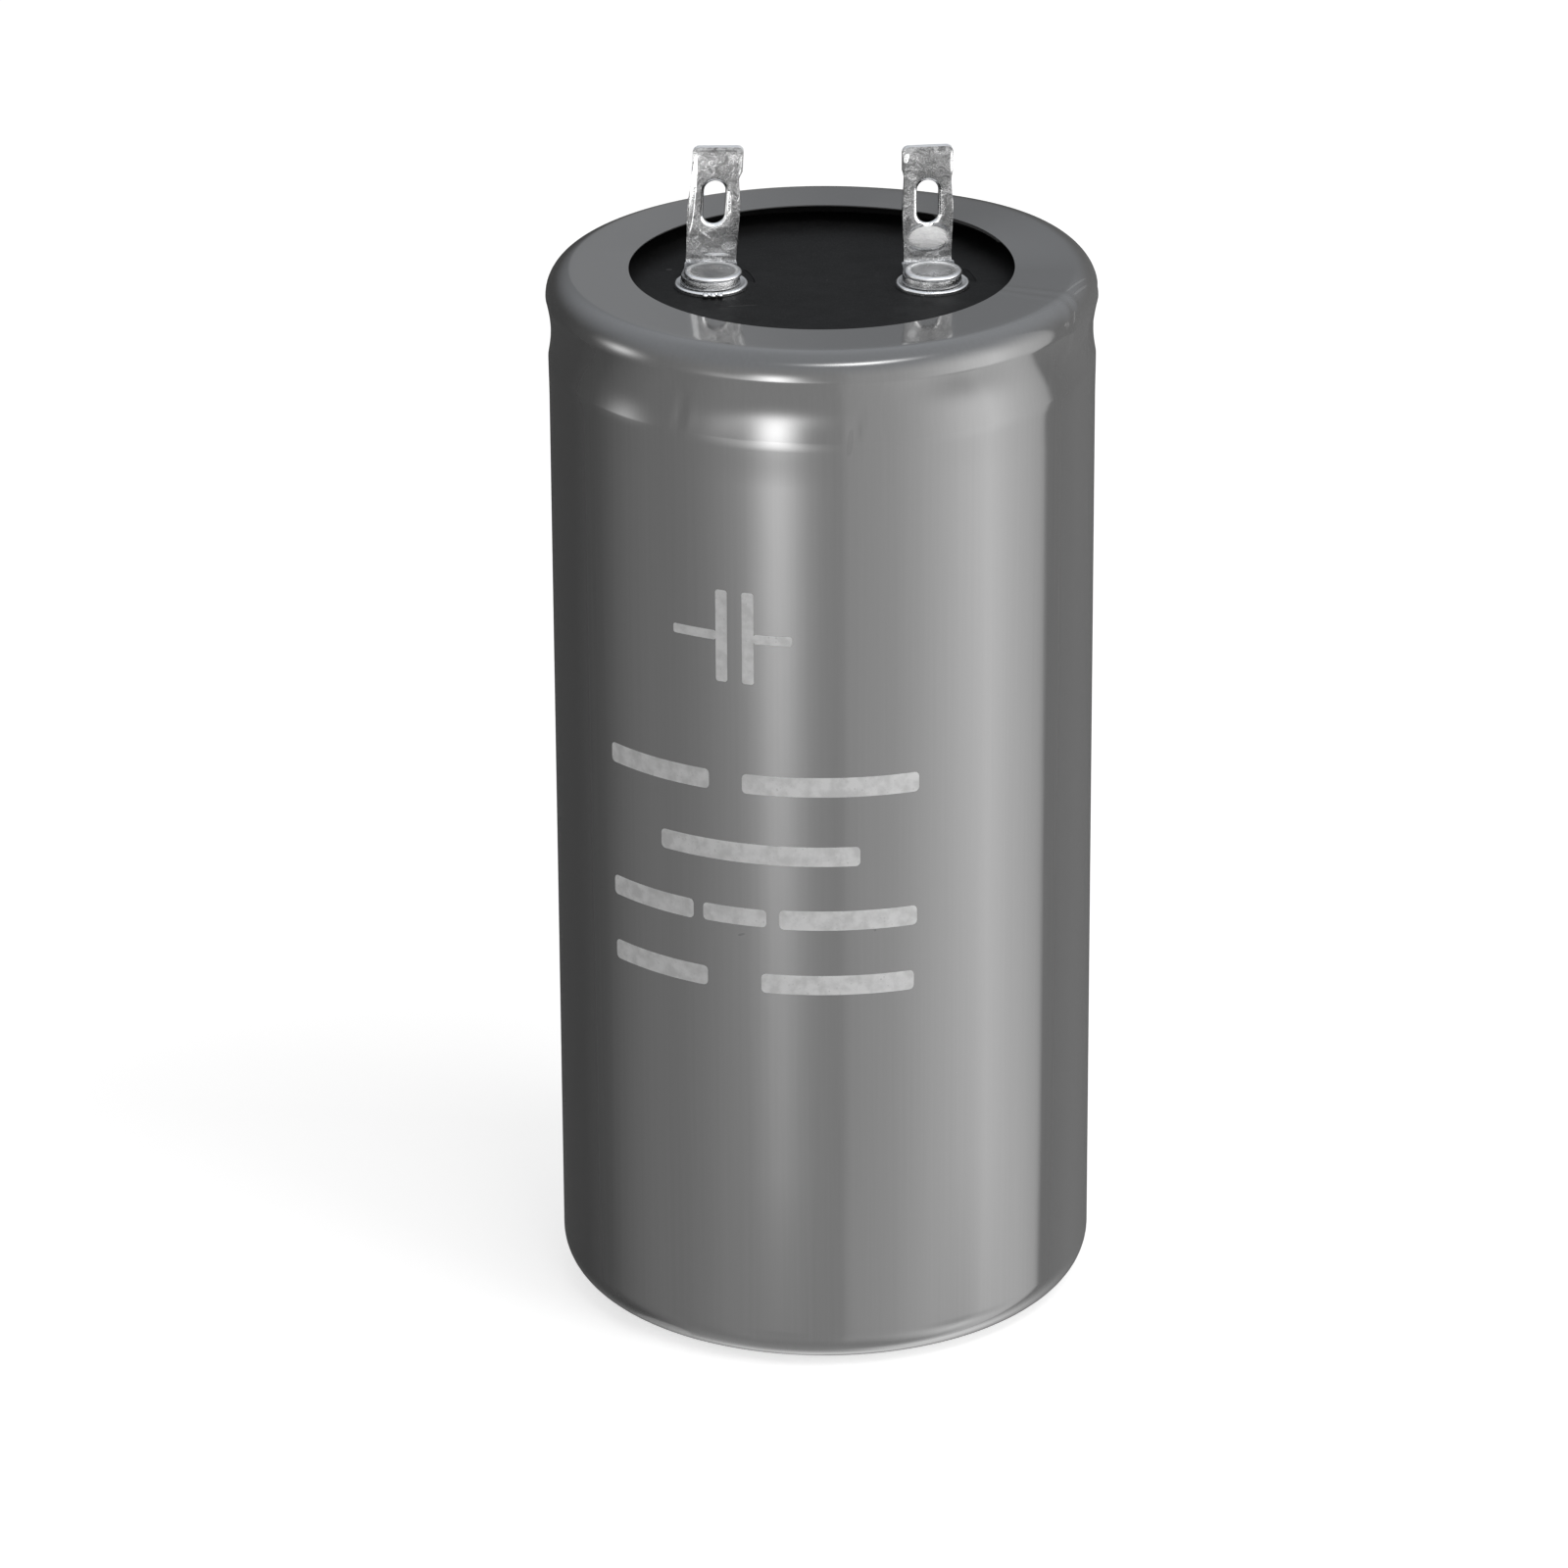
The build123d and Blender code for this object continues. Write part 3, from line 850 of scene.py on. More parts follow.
@dataclass(frozen=True)
class Fibrous(Look):
    """Paper, card or laminate with fibres.

    Args:
        pale: Linear colour of the pale fibres.
        dark: Linear colour between them.
        fibres: Fibres per metre.
        stretch: Factors for X, Y and Z that draw the fibres out.
        roughness: Mean roughness.
        turns: Radial distance between paper turns, in metres, or 0 for none.
        depth: Height of the fibres, in metres.
        flecks: The dark flecks.
    """

    pale: Colour
    dark: Colour
    fibres: float = 1800.0
    stretch: Triple = (1, 1, 1)
    roughness: float = 0.75
    turns: float = 0.0
    depth: float = 0.00003
    flecks: Specks = Specks(900.0, 0.05, 0.35, 0.3)

    def wire(self, w: Wiring) -> None:
        """Lay the material's nodes.

        Args:
            w: The material's wiring.
        """
        fibres = w.noise(Grain(self.fibres, self.stretch, 5.0, 0.65))
        share, height = w.remap(fibres, *NOISE_SPAN), fibres
        if self.turns:
            rings = w.remap(w.math("SINE", w.off_axis() * (FULL_TURN / self.turns)), -1.0, 1.0)
            share, height = share * rings, fibres + rings
        colour = w.blend(w.specks(self.flecks), w.blend(share, self.dark, self.pale), self.dark)
        w.surface(colour, self.roughness, w.bump(height, self.depth), {"Specular IOR Level": 0.3})


@dataclass(frozen=True)
class PaleFloor(Look):
    """Matt white paper that adds a little light of its own for the eye.

    Args:
        level: Linear grey of the paper.
        lift: What it adds.
    """

    name: str = "pale_floor"
    level: float = 0.82
    lift: float = 0.6

    def wire(self, w: Wiring) -> None:
        """Lay the paper's nodes.

        Args:
            w: The material's wiring.
        """
        rays = w.values(w.node("ShaderNodeLightPath"))
        seen = rays["Is Camera Ray"] | rays["Is Glossy Ray"] | rays["Is Transmission Ray"]
        paper = w.node("ShaderNodeBsdfDiffuse", {"Color": grey(self.level)})
        glow = w.node("ShaderNodeEmission", {"Strength": seen * self.lift})
        both = w.node("ShaderNodeAddShader", {0: paper.outputs[0], 1: glow.outputs[0]})
        w.node("ShaderNodeOutputMaterial", {"Surface": both.outputs[0]})


def add_object(name: str, data: Any) -> Piece:
    """Put a new object in the scene.

    Args:
        name: Its name.
        data: Its mesh, lamp or camera.

    Returns:
        The object.
    """
    made = bpy.data.objects.new(name, data)
    bpy.context.scene.collection.objects.link(made)
    return made


def add_mesh(name: str, bm: Mesh, material: Material) -> Piece:
    """Turn a finished bmesh into an object.

    Args:
        name: The object's name.
        bm: Its geometry, in metres, in place. It is freed.
        material: Its material.

    Returns:
        The object.
    """
    mesh = bpy.data.meshes.new(name)
    bm.to_mesh(mesh)
    bm.free()
    mesh.materials.append(material)
    return add_object(name, mesh)


def keep_piece(name: str, bm: Mesh, material: Material,
               stands_for: Iterable[str] = (), smooth_angle: float = 40.0) -> None:
    """Turn a finished bmesh into a piece that rides on the frame.

    Args:
        name: The piece's name.
        bm: Its geometry, in metres, in place. It is freed.
        material: Its material.
        stands_for: The CAD nodes that it replaces.
        smooth_angle: Edges up to this angle, in degrees, are shaded smooth.
    """
    piece = add_mesh(name, bm, material)
    piece.data.shade_smooth()
    piece.data.set_sharp_from_angle(angle=math.radians(smooth_angle))
    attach(piece, "root")
    if stands_for:
        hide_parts(*stands_for)
    piece.data.calc_loop_triangles()
    LOG.info("%s: %d triangles", name, len(piece.data.loop_triangles))


def turned(points: Iterable[Pair], steps: int, centre: float = 0.0, close: bool = False) -> Mesh:
    """Turn a profile about an upright axis.

    Args:
        points: Distances from the axis and heights, in millimetres.
        steps: Steps in the full turn.
        centre: X of the axis, in millimetres.
        close: Whether the profile's last point joins its first.

    Returns:
        The mesh, in metres.
    """
    bm = bmesh.new()
    verts = [bm.verts.new(((centre + r) * MM, 0, z * MM)) for r, z in points]
    following = verts[1:] + (verts[:1] if close else [])
    for first, second in zip(verts, following):
        bm.edges.new((first, second))
    bmesh.ops.spin(bm, geom=bm.verts[:] + bm.edges[:], cent=(centre * MM, 0, 0), axis=(0, 0, 1),
                   dvec=(0, 0, 0), angle=FULL_TURN, space=Matrix.Identity(4), steps=steps, use_merge=True,
                   use_normal_flip=False, use_duplicate=False)
    bmesh.ops.remove_doubles(bm, verts=bm.verts, dist=1e-7)
    bmesh.ops.recalc_face_normals(bm, faces=bm.faces)
    return bm


def paint_rim_highlights(bm: Mesh, share: Callable[[Vector], float]) -> None:
    """Write how far each vertex lies on a rim that the metal's material paints bright as a highlight.

    Args:
        bm: The mesh.
        share: Gives it, from 0 to 1, for a place.
    """
    rim = bm.verts.layers.float.new("rim")
    for vert in bm.verts:
        vert[rim] = share(vert.co)


def arc(centre: Pair, radius: float, start: float, end: float, steps: int) -> list[Pair]:
    """Points on an arc of a profile.

    Args:
        centre: Its centre, as distance and height.
        radius: Its radius.
        start: First angle, in degrees from the outward direction.
        end: Last angle.
        steps: Steps between them.

    Returns:
        The points.
    """
    angles = [math.radians(start + (end - start) * step / steps) for step in range(steps + 1)]
    return [(centre[0] + radius * math.cos(a), centre[1] + radius * math.sin(a)) for a in angles]


def run(start: Pair, end: Pair, steps: int, curve: Callable[[float], float]) -> list[Pair]:
    """Points from one point of a profile to another, evenly spaced in height.

    Args:
        start: First point.
        end: Last point.
        steps: Steps between them.
        curve: Share of the way outwards for a share of the height.

    Returns:
        The points.
    """
    shares = [step / steps for step in range(steps + 1)]
    return [(start[0] + (end[0] - start[0]) * curve(s), start[1] + (end[1] - start[1]) * s) for s in shares]


def ease(share: float) -> float:
    """A smooth passage from 0 to 1."""
    held = min(max(share, 0.0), 1.0)
    return held * held * (3 - 2 * held)


def settle(share: float) -> float:
    """A passage from 0 to 1 that starts steeply and runs out level."""
    return 1 - (1 - share) ** 2 * (1 + 0.25 * share)


@dataclass(frozen=True)
class Fold:
    """One small fold of the film on the rim.

    Args:
        azimuth: Where it lies, in degrees from the front towards +X.
        lean: Degrees that it drifts per millimetre of height.
        width: Half its width, in degrees.
        height: How far it stands out, in millimetres.
        low: Its lower end, in millimetres.
        high: Its upper end.
    """

    azimuth: float
    lean: float
    width: float
    height: float
    low: float
    high: float

    def lift(self, azimuth: float, z: float) -> float:
        """Height of the fold at one place.

        Args:
            azimuth: Degrees from the front.
            z: Height on the body, in millimetres.

        Returns:
            The lift, in millimetres.
        """
        if not self.low < z < self.high:
            return 0.0
        off = abs(azimuth - self.azimuth - self.lean * (z - self.low)) / self.width
        span = (z - self.low) / (self.high - self.low)
        return self.height * ease(1 - off) * math.sin(math.pi * span)


@dataclass(frozen=True)
class ShrinkSleeve:
    """The film over the can: lip, round base, side, waist, rolled rim and lip.

    Sizes are in millimetres. Pairs are distances from the axis and heights, and rim_round is how far the
    rim's round reaches inwards and downwards.
    """

    wall: float = 0.3
    base_opening: float = 17.5
    corner: float = 3.85
    body: float = 25.0
    side_rows: tuple[float, ...] = (20.0, 40.0, 60.0, 80.0)
    crease: Pair = (25.045, 91.5)
    crease_fade: float = 4.0
    waist: Pair = (24.78, 94.0)
    rim: float = 25.215
    rim_round: Pair = (2.3, 2.45)
    top: float = 99.7
    top_rows: tuple[float, ...] = (22.2, 21.4, 20.2, 19.0)
    top_opening: float = 17.6
    lip_edge: float = 0.1
    lip_fade: float = 1.5
    steps: int = 320
    folds: tuple[Fold, ...] = (
        Fold(60.0, 1.2, 4.0, 0.05, 94.2, 99.2),
        Fold(66.0, -1.2, 3.0, 0.06, 95.2, 99.6),
        Fold(62.0, 1.6, 1.5, 0.1, 97.6, 99.8),
        Fold(66.5, 1.6, 1.5, 0.1, 97.6, 99.8),
        Fold(71.0, 1.2, 3.5, 0.08, 93.4, 98.8),
        Fold(79.0, -1.0, 4.0, 0.08, 92.4, 97.8),
        Fold(86.0, 1.5, 4.0, -0.16, 94.2, 99.2),
        Fold(128.0, 0.0, 42.0, 0.75, 93.5, 100.6),
        Fold(-31.5, 0.4, 1.6, -0.09, 91.0, 95.8),
        Fold(-29.0, 0.2, 1.2, 0.04, 91.4, 95.0),
        Fold(6.5, 0.3, 1.2, -0.07, 91.2, 94.8),
    )

    def outline(self) -> list[Pair]:
        """The outside of the film, from the lower lip to the upper one.

        Returns:
            Distances from the axis and heights.
        """
        side_top = self.crease[1] - self.crease_fade
        inset, drop = self.rim_round
        quarter = arc((0, 0), 1.0, 0, 90, 24)
        roll = [(self.rim - inset + r * inset, self.top - drop + z * drop) for r, z in quarter]
        points = [(self.base_opening, 0.0)]
        points += arc((self.body - self.corner, self.corner), self.corner, -90, 0, 14)
        points += [(self.body, z) for z in (*self.side_rows, side_top - 0.3)]
        points += run((self.body, side_top), self.crease, 5, ease)
        points += run(self.crease, self.waist, 16, settle)[1:]
        points += run(roll[0], self.waist, 18, settle)[-2::-1]
        points += roll[1:]
        return points + [(r, self.top) for r in (*self.top_rows, self.top_opening)]

    def crumple(self, bm: Mesh) -> None:
        """Raise the folds on the turned film.

        Args:
            bm: The film.
        """
        for vert in bm.verts:
            azimuth = math.degrees(math.atan2(vert.co.x, -vert.co.y))
            lift = sum(fold.lift(azimuth, vert.co.z / MM) for fold in self.folds)
            if lift:
                vert.co += vert.normal * lift * MM

    def build(self, film: Material) -> None:
        """Turn the outline, crumple it, give it its wall and thin its upper lip.

        Args:
            film: The film's material.
        """
        bm = turned(self.outline(), self.steps)
        bm.normal_update()
        if sum(f.normal.xy.dot(f.calc_center_median().xy) for f in bm.faces) < 0:
            bmesh.ops.reverse_faces(bm, faces=bm.faces)
            bm.normal_update()
        self.crumple(bm)
        bmesh.ops.solidify(bm, geom=bm.faces[:], thickness=self.wall * MM)
        for vert in bm.verts:
            thin = ease((self.top_opening + self.lip_fade - vert.co.xy.length / MM) / self.lip_fade)
            if vert.co.z < (self.top - self.lip_edge) * MM < (vert.co.z + self.wall * MM):
                vert.co.z += thin * (self.wall - self.lip_edge) * MM
        keep_piece("sleeve_film", bm, film, ["shrink_sleeve"], 60.0)


@dataclass(frozen=True)
class Terminal:
    """Washer, solder lug and rivet of one terminal.

    Sizes are in millimetres, angles in degrees.

    Args:
        side: Which terminal.
        lean: How far the blade leans towards +X.
        turn: How far the lug has turned on its rivet.
        step_left: How far the head stands out to the left of the neck.
        step_right: The same to the right.
        base_half: Half the blade's width at the bend.
        lug_off: How far the lug sits off the terminal's middle.
        rivet_off: The same for the rivet.
        washer_off: The same for the washer.
        teeth: Where small teeth stand on the washer's edge, in degrees from the front towards +X.
        belly: How far the blade bulges, at which height, and how far up and down.
    """

    side: Side
    lean: float
    turn: float
    step_left: float
    step_right: float
    base_half: float
    lug_off: float
    rivet_off: float
    washer_off: float
    teeth: tuple[float, ...] = ()
    lid_top: float = 97.8
    top: float = 110.0
    spacing: float = 20.0
    washer: float = 3.375
    washer_thick: float = 0.45
    washer_round: float = 0.2
    hole: float = 1.6
    tooth: float = 0.3
    tooth_off: float = 0.1
    tooth_rise: float = 0.27
    foot: float = 2.65
    foot_back: float = 2.4
    thick: float = 0.7
    bend_start: float = 2.7
    bend: float = 0.5
    shoulder: float = 0.12
    foot_flare: float = 0.12
    neck_half: float = 2.15
    belly: Triple = (0.12, 4.6, 2.2)
    head_length: float = 2.4
    step_rise: float = 0.5
    flare: float = 2.6
    corner: float = 0.6
    edge: float = 0.33
    slot_half: float = 0.98
    slot_length: float = 4.1
    slot_down: float = 3.25
    slot_edge: float = 0.33
    head: float = 2.65
    head_round: float = 0.26
    dish: float = 2.1
    shank: float = 1.5
    clinch: float = 2.8
    clinch_step: float = 0.25

    @property
    def x(self) -> float:
        """The terminal's place along X."""
        return self.side.value * self.spacing / 2

    @property
    def foot_top(self) -> float:
        """Top of the lug's foot."""
        return self.lid_top + self.washer_thick + self.thick

    @property
    def tip(self) -> float:
        """Height of the blade above its foot."""
        return self.top - self.foot_top

    @property
    def blade_start(self) -> float:
        """Length along the blank at which the height above the foot is nought."""
        return self.bend_start + self.bend * math.pi / 2 - self.bend

    @staticmethod
    def reach(place: Vector, centre: float) -> float:
        """Distance of a place in metres from an upright axis, in millimetres."""
        return math.hypot(place.x / MM - centre, place.y / MM)

    def build_washer(self, metal: Material) -> None:
        """Turn the washer and press its teeth.

        Args:
            metal: The washer's material.
        """
        low, high = self.lid_top, self.lid_top + self.washer_thick
        round_in = self.washer - self.washer_round
        centre = self.x + self.washer_off
        points = [(self.hole, low), (self.washer - 0.05, low), (self.washer, low + 0.05)]
        points += arc((round_in, high - self.washer_round), self.washer_round, 0, 90, 5)
        points += [(self.washer - 0.3, high - 0.03), (self.hole, high)]
        bm = turned(points, 72, centre, close=True)
        # Painted highlight: the washer's outer rim is marked to be coloured bright.
        paint_rim_highlights(bm, lambda place: float(self.reach(place, centre) > self.washer - 0.25))
        for azimuth in map(math.radians, self.teeth):
            off = self.washer + self.tooth_off
            spot = Vector((centre + off * math.sin(azimuth), -off * math.cos(azimuth), low + self.tooth_rise))
            shape = Matrix.Translation(spot * MM) @ Matrix.Diagonal((1, 1.2, 0.9, 1))
            bmesh.ops.create_icosphere(bm, subdivisions=3, radius=self.tooth * MM, matrix=shape)
        word = self.side.word
        keep_piece(f"washer_plate_{word}", bm, metal, [f"washer_{word}"])

    def half_widths(self, height: float) -> Pair:
        """Left and right half widths of the blade.

        Args:
            height: Height above the foot.

        Returns:
            The two half widths.
        """
        neck = self.tip - self.head_length - self.step_rise
        bulge, middle, spread = self.belly
        narrow = ease((height - neck + self.flare) / self.flare)
        belly = bulge * math.exp(-((height - middle) / spread) ** 2)
        half = self.base_half + (self.neck_half - self.base_half) * narrow + belly
        widen = ease((height - neck) / self.step_rise)
        return half + widen * self.step_left, half + widen * self.step_right

    def blank_outline(self) -> list[Pair]:
        """The stamped blank, unfolded: across and along, anticlockwise from the foot's round end.

        Returns:
            The points.
        """
        rise, back = self.blade_start, self.foot_back
        shoulder = rise + self.shoulder
        blade = self.tip - self.corner - self.shoulder
        heights = [self.shoulder + blade * n / 30 for n in range(31)]
        sides = [(self.foot - 0.03, 0.5), (self.foot - 0.13, 1.1), (back + 0.03, 1.7),
                 (back, self.bend_start), (back, shoulder - 0.12), (back - 0.05, shoulder)]
        right = [(self.half_widths(h)[1], rise + h) for h in heights]
        left = [(-self.half_widths(h)[0], rise + h) for h in reversed(heights)]
        top = rise + self.tip - self.corner
        halves = self.half_widths(self.tip)
        corner_right = arc((halves[1] - self.corner, top), self.corner, 0, 90, 6)[1:]
        corner_left = arc((-halves[0] + self.corner, top), self.corner, 90, 180, 6)[:-1]
        return (arc((0, 0), self.foot, 180, 360, 24) + sides + right + corner_right + corner_left + left
                + [(-across, along) for across, along in reversed(sides)])

    def stamp(self, bm: Mesh) -> None:
        """Cut the flat blank with its slot, thicken it and round its edges.

        Args:
            bm: The mesh to draw in, in millimetres: across, along, and down into the sheet.
        """
        outline = [bm.verts.new((u, s, 0)) for u, s in self.blank_outline()]
        for first, second in zip(outline, outline[1:] + outline[:1]):
            bm.edges.new((first, second))
        middle = self.blade_start + self.tip - self.slot_down - self.slot_length / 2
        ring = bmesh.ops.create_circle(bm, cap_ends=False, radius=self.slot_half, segments=36,
                                       matrix=Matrix.Rotation(math.radians(5), 4, "Z"))["verts"]
        for vert in ring:
            vert.co.y += middle + math.copysign(self.slot_length / 2 - self.slot_half, vert.co.y)
        bmesh.ops.triangle_fill(bm, edges=bm.edges[:], use_beauty=True, use_dissolve=False)
        grown = bmesh.ops.extrude_face_region(bm, geom=bm.faces[:])["geom"]
        bmesh.ops.translate(bm, verts=[v for v in grown if isinstance(v, bmesh.types.BMVert)],
                            vec=(0, 0, self.thick))
        bmesh.ops.recalc_face_normals(bm, faces=bm.faces)
        rims = [e for e in bm.edges if len(e.link_faces) == 2 and e.calc_face_angle() > 1.2
                and abs(e.verts[0].co.z - e.verts[1].co.z) < 0.01]
        near = self.slot_length / 2 + 0.1
        slot = [e for e in rims if all(abs(v.co.y - middle) < near and abs(v.co.x) < self.slot_half + 0.1
                                       for v in e.verts)]
        outer = [e for e in rims if e not in slot]
        for edges, offset in ((slot, self.slot_edge), (outer, self.edge)):
            bmesh.ops.bevel(bm, geom=edges, offset=offset, offset_type="OFFSET", segments=4, profile=0.5,
                            affect="EDGES", clamp_overlap=True, material=-1)
        # Painted highlight: the lug's edges are marked to be coloured bright, fully above the bend.
        paint_rim_highlights(bm, lambda place: (0.02 < place.z < self.thick - 0.02)
                 * (1.0 if place.y > self.bend_start else 0.4))

    def folded(self, place: Vector) -> Vector:
        """Where a place of the blank comes to lie, in metres.

        Args:
            place: Across, along, and down into the sheet, in millimetres.

        Returns:
            Its place on the folded, leaning lug, before the lug turns.
        """
        u, s, depth = place
        if s <= self.bend_start:
            fade = 1 - max(s, 0.0) / self.bend_start
            flare = 1 + self.foot_flare / self.foot * fade * depth / self.thick
            u *= flare
            y, z = s if s > 0 else s * flare, self.foot_top - depth
        elif s < self.bend_start + self.bend * math.pi / 2:
            angle = (s - self.bend_start) / self.bend
            reach = self.bend + depth
            y = self.bend_start + reach * math.sin(angle)
            z = self.foot_top + self.bend - reach * math.cos(angle)
        else:
            y = self.bend_start + self.bend + depth
            z = self.foot_top + s - self.blade_start
        u += max(0.0, z - self.foot_top) * math.tan(math.radians(self.lean))
        return Vector((u * MM, y * MM, z * MM))

    def build_lug(self, metal: Material) -> None:
        """Stamp the solder lug, cut rows across its bend, fold it and turn it.

        Args:
            metal: The lug's material.
        """
        bm = bmesh.new()
        self.stamp(bm)
        for n in range(9):
            row = self.bend_start + self.bend * math.pi / 2 * n / 8
            bmesh.ops.bisect_plane(bm, geom=bm.verts[:] + bm.edges[:] + bm.faces[:], dist=1e-5,
                                   plane_co=(0, row, 0), plane_no=(0, 1, 0))
        for vert in bm.verts:
            vert.co = self.folded(vert.co)
        bmesh.ops.rotate(bm, verts=bm.verts, cent=(0, 0, 0),
                         matrix=Matrix.Rotation(math.radians(self.turn), 3, "Z"))
        bmesh.ops.translate(bm, verts=bm.verts, vec=((self.x + self.lug_off) * MM, 0, 0))
        bmesh.ops.recalc_face_normals(bm, faces=bm.faces)
        word = self.side.word
        keep_piece(f"solder_lug_{word}", bm, metal, [f"lug_{word}"], 35.0)

    def build_rivet(self, metal: Material) -> None:
        """Turn the rivet with its dished head, shank and spread end.

        Args:
            metal: The rivet's material.
        """
        word = self.side.word
        low, high = (corner.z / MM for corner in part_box(f"rivet_{word}"))
        clinch_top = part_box(f"tab_{word}")[1].z / MM - self.clinch_step
        head_low = self.foot_top
        centre = self.x + self.rivet_off
        points = [(0.0, high - 0.13), (1.0, high - 0.14), (1.75, high - 0.13), (1.98, high - 0.09),
                  (2.14, high - 0.02)]
        points += arc((self.head - self.head_round, high - self.head_round), self.head_round, 90, 0, 7)
        points += arc((self.head - 0.12, head_low + 0.12), 0.12, 0, -90, 3)
        points += [(self.shank, head_low), (self.shank, clinch_top), (self.clinch, clinch_top),
                   (self.clinch, low + self.clinch_step), (self.clinch - self.clinch_step, low), (0.0, low)]
        bm = turned(points, 72, centre)
        # Painted highlight: the rivet head's outer rim is marked to be coloured bright.
        paint_rim_highlights(bm, lambda place: float(self.reach(place, centre) > self.dish
                                         and place.z / MM > head_low + 0.05))
        keep_piece(f"rivet_body_{word}", bm, metal, [f"rivet_{word}"])


@dataclass(frozen=True)
class Bar:
    """One printed bar on the body's side, in millimetres.

    Args:
        left: Where it starts, along the body's girth from the front.
        right: Where it ends.
        middle: Height of its middle.
        height: Its height.
    """

    left: float
    right: float
    middle: float
    height: float


@dataclass(frozen=True)
class PrintedRows:
    """Plain bars in the places of the printed rows, and a plain two-plate figure above them.

    Sizes are in millimetres.
    """

    body: float = 25.0
    ink: float = 0.02
    corner_share: float = 0.22
    bars: tuple[Bar, ...] = (
        Bar(-22.0, -10.7, 58.6, 1.9),
        Bar(-7.5, 8.8, 58.6, 1.9),
        Bar(-15.8, 3.3, 51.8, 1.9),
        Bar(-21.85, -12.4, 45.5, 1.9),
        Bar(-11.4, -5.3, 45.5, 1.7),
        Bar(-4.1, 8.6, 45.5, 1.9),
        Bar(-21.7, -11.0, 39.1, 1.9),
        Bar(-5.8, 8.3, 39.1, 1.9),
    )
    figure: tuple[Bar, ...] = (
        Bar(-14.2, -9.9, 72.7, 0.9),
        Bar(-9.9, -8.8, 72.7, 8.8),
        Bar(-7.4, -6.3, 72.7, 8.8),
        Bar(-6.3, -2.8, 72.7, 0.9),
    )

    def lay_bar(self, bm: Mesh, bar: Bar) -> None:
        """Add one bar as a flat grid with rounded corners.

        Args:
            bm: The mesh of all the bars, in millimetres.
            bar: The bar's place and size.
        """
        length = bar.right - bar.left
        grid = bmesh.ops.create_grid(bm, x_segments=max(2, round(length)), y_segments=1, size=0.5)["verts"]
        centre = (bar.left + bar.right) / 2
        for vert in grid:
            vert.co.x = centre + vert.co.x * length
            vert.co.z = bar.middle + vert.co.y * bar.height
            vert.co.y = 0
        corners = [v for v in grid if len(v.link_edges) == 2]
        bmesh.ops.bevel(bm, geom=corners, offset=min(length, bar.height) * self.corner_share,
                        offset_type="OFFSET", segments=3, profile=0.5, affect="VERTICES", clamp_overlap=True,
                        material=-1)

    def build(self, ink: Material) -> None:
        """Lay all bars, bend them round the body and thicken them.

        Args:
            ink: The ink's material.
        """
        bm = bmesh.new()
        for bar in self.bars + self.figure:
            self.lay_bar(bm, bar)
        radius = self.body + self.ink
        for vert in bm.verts:
            angle = vert.co.x / self.body
            vert.co = Vector((radius * math.sin(angle), -radius * math.cos(angle), vert.co.z)) * MM
        bmesh.ops.recalc_face_normals(bm, faces=bm.faces)
        bm.normal_update()
        inward = [f for f in bm.faces if f.normal.dot(f.calc_center_median() * Vector((1, 1, 0))) < 0]
        bmesh.ops.reverse_faces(bm, faces=inward)
        bmesh.ops.solidify(bm, geom=bm.faces[:], thickness=self.ink * MM)
        keep_piece("printed_rows", bm, ink)


@dataclass(frozen=True)
class InnerPieces:
    """The CAD nodes whose own shape shows, each with its finish."""

    finishes: tuple[tuple[Look, tuple[str, ...]], ...] = (
        (Fibrous("pressed_card", (0.6, 0.5, 0.36, 1), (0.42, 0.34, 0.23, 1)),
         ("top_insulator", "bottom_insulator")),
        (DrawnAluminium("rolled_tab", Grain(3000.0, (1, 1, 0.05), 4.0, 0.6)), ("tab_left", "tab_right")),
        (Fibrous("sleeve_disc", grey(0.12), grey(0.08), 900.0, roughness=0.5), ("base_disc",)),
        # The can's curl above 97.2 mm is painted dark as shade under the sleeve's lip.
        (DrawnAluminium("drawn_can", Grain(3000.0, (1, 1, 0.03), 4.0, 0.6), painted_shade=0.0972), ("can",)),
        (Fibrous("laminate", (0.3, 0.17, 0.08, 1), (0.18, 0.1, 0.05, 1), 1500.0, (1, 0.2, 1), 0.45),
         ("lid_board",)),
        (LidRubber(), ("lid_rubber",)),
        (Fibrous("roll_of_paper", (0.66, 0.57, 0.43, 1), (0.3, 0.25, 0.18, 1), turns=0.0004), ("winding",)),
        (Fibrous("paper_tape", (0.64, 0.55, 0.4, 1), (0.5, 0.42, 0.29, 1), 1200.0, (1, 1, 0.2), 0.6),
         ("winding_wrap",)),
    )

    def dress(self) -> None:
        """Give every carried-over node its finish."""
        for look, names in self.finishes:
            material = look.make()
            for name in names:
                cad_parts[name].material_slots[0].material = material
                LOG.info("%s: dressed", name)


